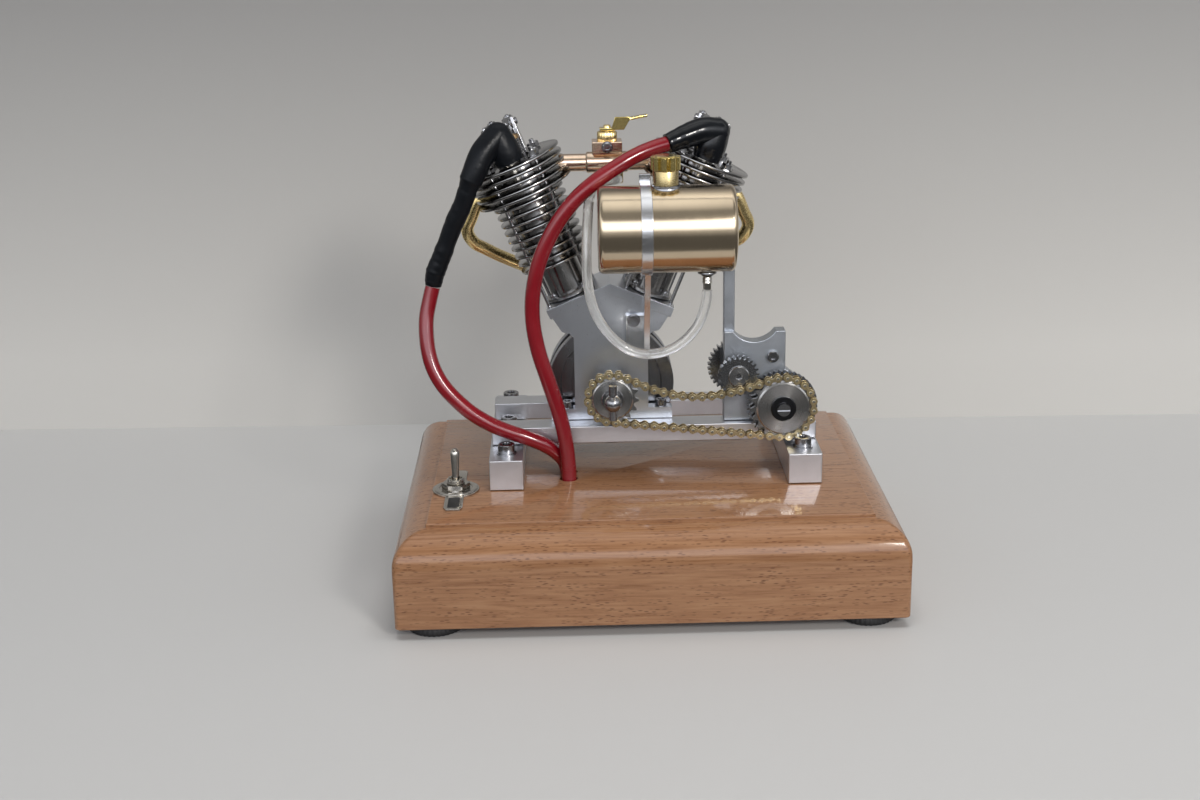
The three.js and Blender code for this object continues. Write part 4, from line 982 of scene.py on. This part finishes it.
# ---- motor bracket: a plate with a cradle in its top, and a post ----
CRADLE, PLATE_TOP, CRADLE_DEPTH = 8.5, 81.5, 3.6
lip = degrees(acos(1 - CRADLE_DEPTH / CRADLE))
outline = [(26.6, 51.1), (52.5, 51.1), (52.5, 64), (46.8, 68.5), (46.8, PLATE_TOP)]
outline += circle(36.6, PLATE_TOP - CRADLE_DEPTH + CRADLE, CRADLE, 32, 270 + lip, 270 - lip)
outline.append((26.6, PLATE_TOP))
bracket = Solid()
bracket.prism(outline, -6.6, -1.1)
bracket.box((26.6, -4.6, 80.5), (30.2, -1.1, 112))
finish(bracket, "saddle_plate", SADDLE, node="motor_bracket", bevel=0.3)

# ---- toggle switch, in heights above the base's field ----
TX, TY = -62, -22.4
TOGGLE = Matrix.Translation((TX, TY, FIELD))
washer = Solid(TOGGLE)
washer.prism(circle(0, 0, 7.6, 64), 0.05, 0.75, axis="Z")
for tag in ([(-3, -6), (-3, -17.2), (-2.2, -19), (2.2, -19), (3, -17.2), (3, -6)],
            [(-1.5, 6), (3, 6), (3, 16), (2.2, 17), (-0.8, 17), (-1.5, 16)]):
    washer.prism(tag, 0.05, 0.7, axis="Z")
washer.lathe([(5.4, 0.7), (5.5, 1), (5.8, 1.05), (6.7, 1.05), (7, 1), (7.1, 0.7)], closed=True)
inlay = Solid(TOGGLE).box((-1.8, -17.6, 0.6), (1.8, -8.6, 0.74))
finish(inlay, "toggle_tag_inlay", BLACK_STEEL)
finish(washer, "toggle_washer", NICKEL, node="toggle_switch", bevel=0.15, angle=35)
bushing = Solid(TOGGLE)
bushing.nut((0, 0, 0.75), 4, 2)
thread = [(0, 0.1)]
for z in (0.6 + 0.4 * i for i in range(9)):
    thread += [(2.95, z), (2.7, z + 0.2)]
bushing.lathe(thread + [(2.5, 4.3), (2.1, 4.3), (1.9, 3.2), (0, 3.2)], n=48)
finish(bushing, "toggle_bushing", NICKEL)
tilt = radians(10)
bat = Solid(TOGGLE)
shape = [(0, 1), (1.5, 1.1), (4, 1.2), (7, 1.35), (9, 1.45), (9.8, 1.45), (10.5, 1.25), (11.1, 0.8),
         (11.4, 0.2)]
bat.tube([(0, s * sin(tilt), 2.6 + s * cos(tilt)) for s, _ in shape], [r for _, r in shape], 32)
finish(bat, "toggle_bat", NICKEL, "toggle", "toggle_lever", angle=50)


# ---- studio ----
def stage_plane(name, corners, material):
    mesh = bpy.data.meshes.new(name)
    mesh.from_pydata([tuple(c * MM for c in p) for p in corners], [], [(0, 1, 2, 3)])
    mesh.materials.append(material)
    obj = add_object(name, mesh)
    return obj


def backless(look):
    """Seen from behind, the wall lets the view through."""
    facing = look.node("NewGeometry").outputs["Backfacing"]
    clear = look.node("BsdfTransparent")
    mix = look.node("MixShader", {0: facing, 1: look.shader.outputs[0], 2: clear.outputs[0]})
    look.tree.links.new(mix.outputs[0], look.tree.nodes["Material Output"].inputs["Surface"])


floor_look = Look("floor_paint", "stage", (0.5, 0.5, 0.497), 0.6)
floor_look.bump(floor_look.noise(floor_look.place((30, 200, 200)), 1), 0.1, 500)
wall_look = Look("wall_paint", "stage", (0.5, 0.49, 0.47), 0.8)
height = wall_look.node("SeparateXYZ", {0: wall_look.place()}).outputs["Z"]
# Painted shade on the wall: its colour is pale near the floor, darkest 0.28 m up, and paler again towards
# 0.6 m.
wall_painted_shade_tones = [(0.57, 0.56, 0.535), (0.1, 0.101, 0.107), (0.8, 0.8, 0.8)]
height = wall_look.spread(height, 0, 1, 0, 1)
wall_look.link(wall_look.tint(height, wall_painted_shade_tones, [0.03, 0.28, 0.6]), "Base Color")
wall_look.bump(wall_look.noise(wall_look.place(), 40), 0.05, 500)
backless(wall_look)
NEAR, FAR = 130, 3000
TILES = {"floor": (-NEAR, -NEAR, NEAR, NEAR), "floor_front": (-FAR, -FAR, FAR, -NEAR),
         "floor_back": (-FAR, NEAR, FAR, FAR), "floor_left": (-FAR, -NEAR, -NEAR, NEAR),
         "floor_right": (NEAR, -NEAR, FAR, NEAR)}
for name, (left, front, right, back) in TILES.items():
    corners = [(left, front, 0), (right, front, 0), (right, back, 0), (left, back, 0)]
    stage_plane(name, corners, floor_look.material).visible_glossy = name == "floor"
stage_plane("wall", [(FAR, 55, FAR), (-FAR, 244, FAR), (-FAR, 244, -1), (FAR, 55, -1)], wall_look.material)


def area_light(name, at, target, size, power, color, glossy):
    data = bpy.data.lights.new(name, "AREA")
    data.shape = "RECTANGLE"
    data.size, data.size_y = size
    data.energy = power
    data.color = color
    light = add_object(name, data)
    at, target = Vector(at), Vector(target)
    light.matrix_world = Matrix.Translation(at) @ (target - at).to_track_quat("-Z", "Y").to_matrix().to_4x4()
    light.visible_glossy = glossy


area_light("overhead", (0.1, -0.25, 1.3), (0, 0, 0), (0.9, 0.5), 7.5, (1, 0.99, 0.97), False)
area_light("front_right", (0.5, -1, 0.65), (0, 0, 0.08), (0.22, 0.22), 6, (1, 0.96, 0.9), True)


def grey_ramp(graph, factor, stops):
    return graph.tint(factor, [(value,) * 3 for _, value in stops], [stop for stop, _ in stops])


# The camera sees a plain pale room. Reflections see a window in front, a dark floor and a bright ceiling.
world = bpy.data.worlds.new("room")
world.use_nodes = True
bpy.context.scene.world = world
graph = Graph(world.node_tree)
background = graph.tree.nodes["Background"]
direction = graph.node("TexCoord").outputs["Generated"]
direction = graph.node("SeparateXYZ", {"Vector": direction})
height = graph.spread(direction.outputs["Z"], 0, 1, -1, 1)
room = grey_ramp(graph, height, [(0, 0.1), (0.15, 0.03), (0.42, 0.03), (0.5, 0.1), (0.7, 0.2), (0.8, 0.06),
                          (0.92, 0.08), (1, 0.35)])
band = grey_ramp(graph, height, [(0, 0), (0.55, 0), (0.61, 1), (0.74, 1), (0.79, 0)])
ahead = graph.spread(direction.outputs["Y"], 0.12, 1, -0.3, -0.85)
window = graph.mix(ahead, (0, 0, 0, 1), band)
lit = graph.mix(window, room, (0.74, 0.76, 0.82, 1))
seen = graph.node("LightPath").outputs["Is Camera Ray"]
graph.tree.links.new(graph.mix(seen, lit, (0.25, 0.25, 0.25, 1)), background.inputs["Color"])
mirrored = graph.node("LightPath").outputs["Is Glossy Ray"]
graph.tree.links.new(graph.spread(mirrored, 2.15, 3.5, 0, 1), background.inputs["Strength"])
bpy.context.scene.view_settings.view_transform = "Standard"
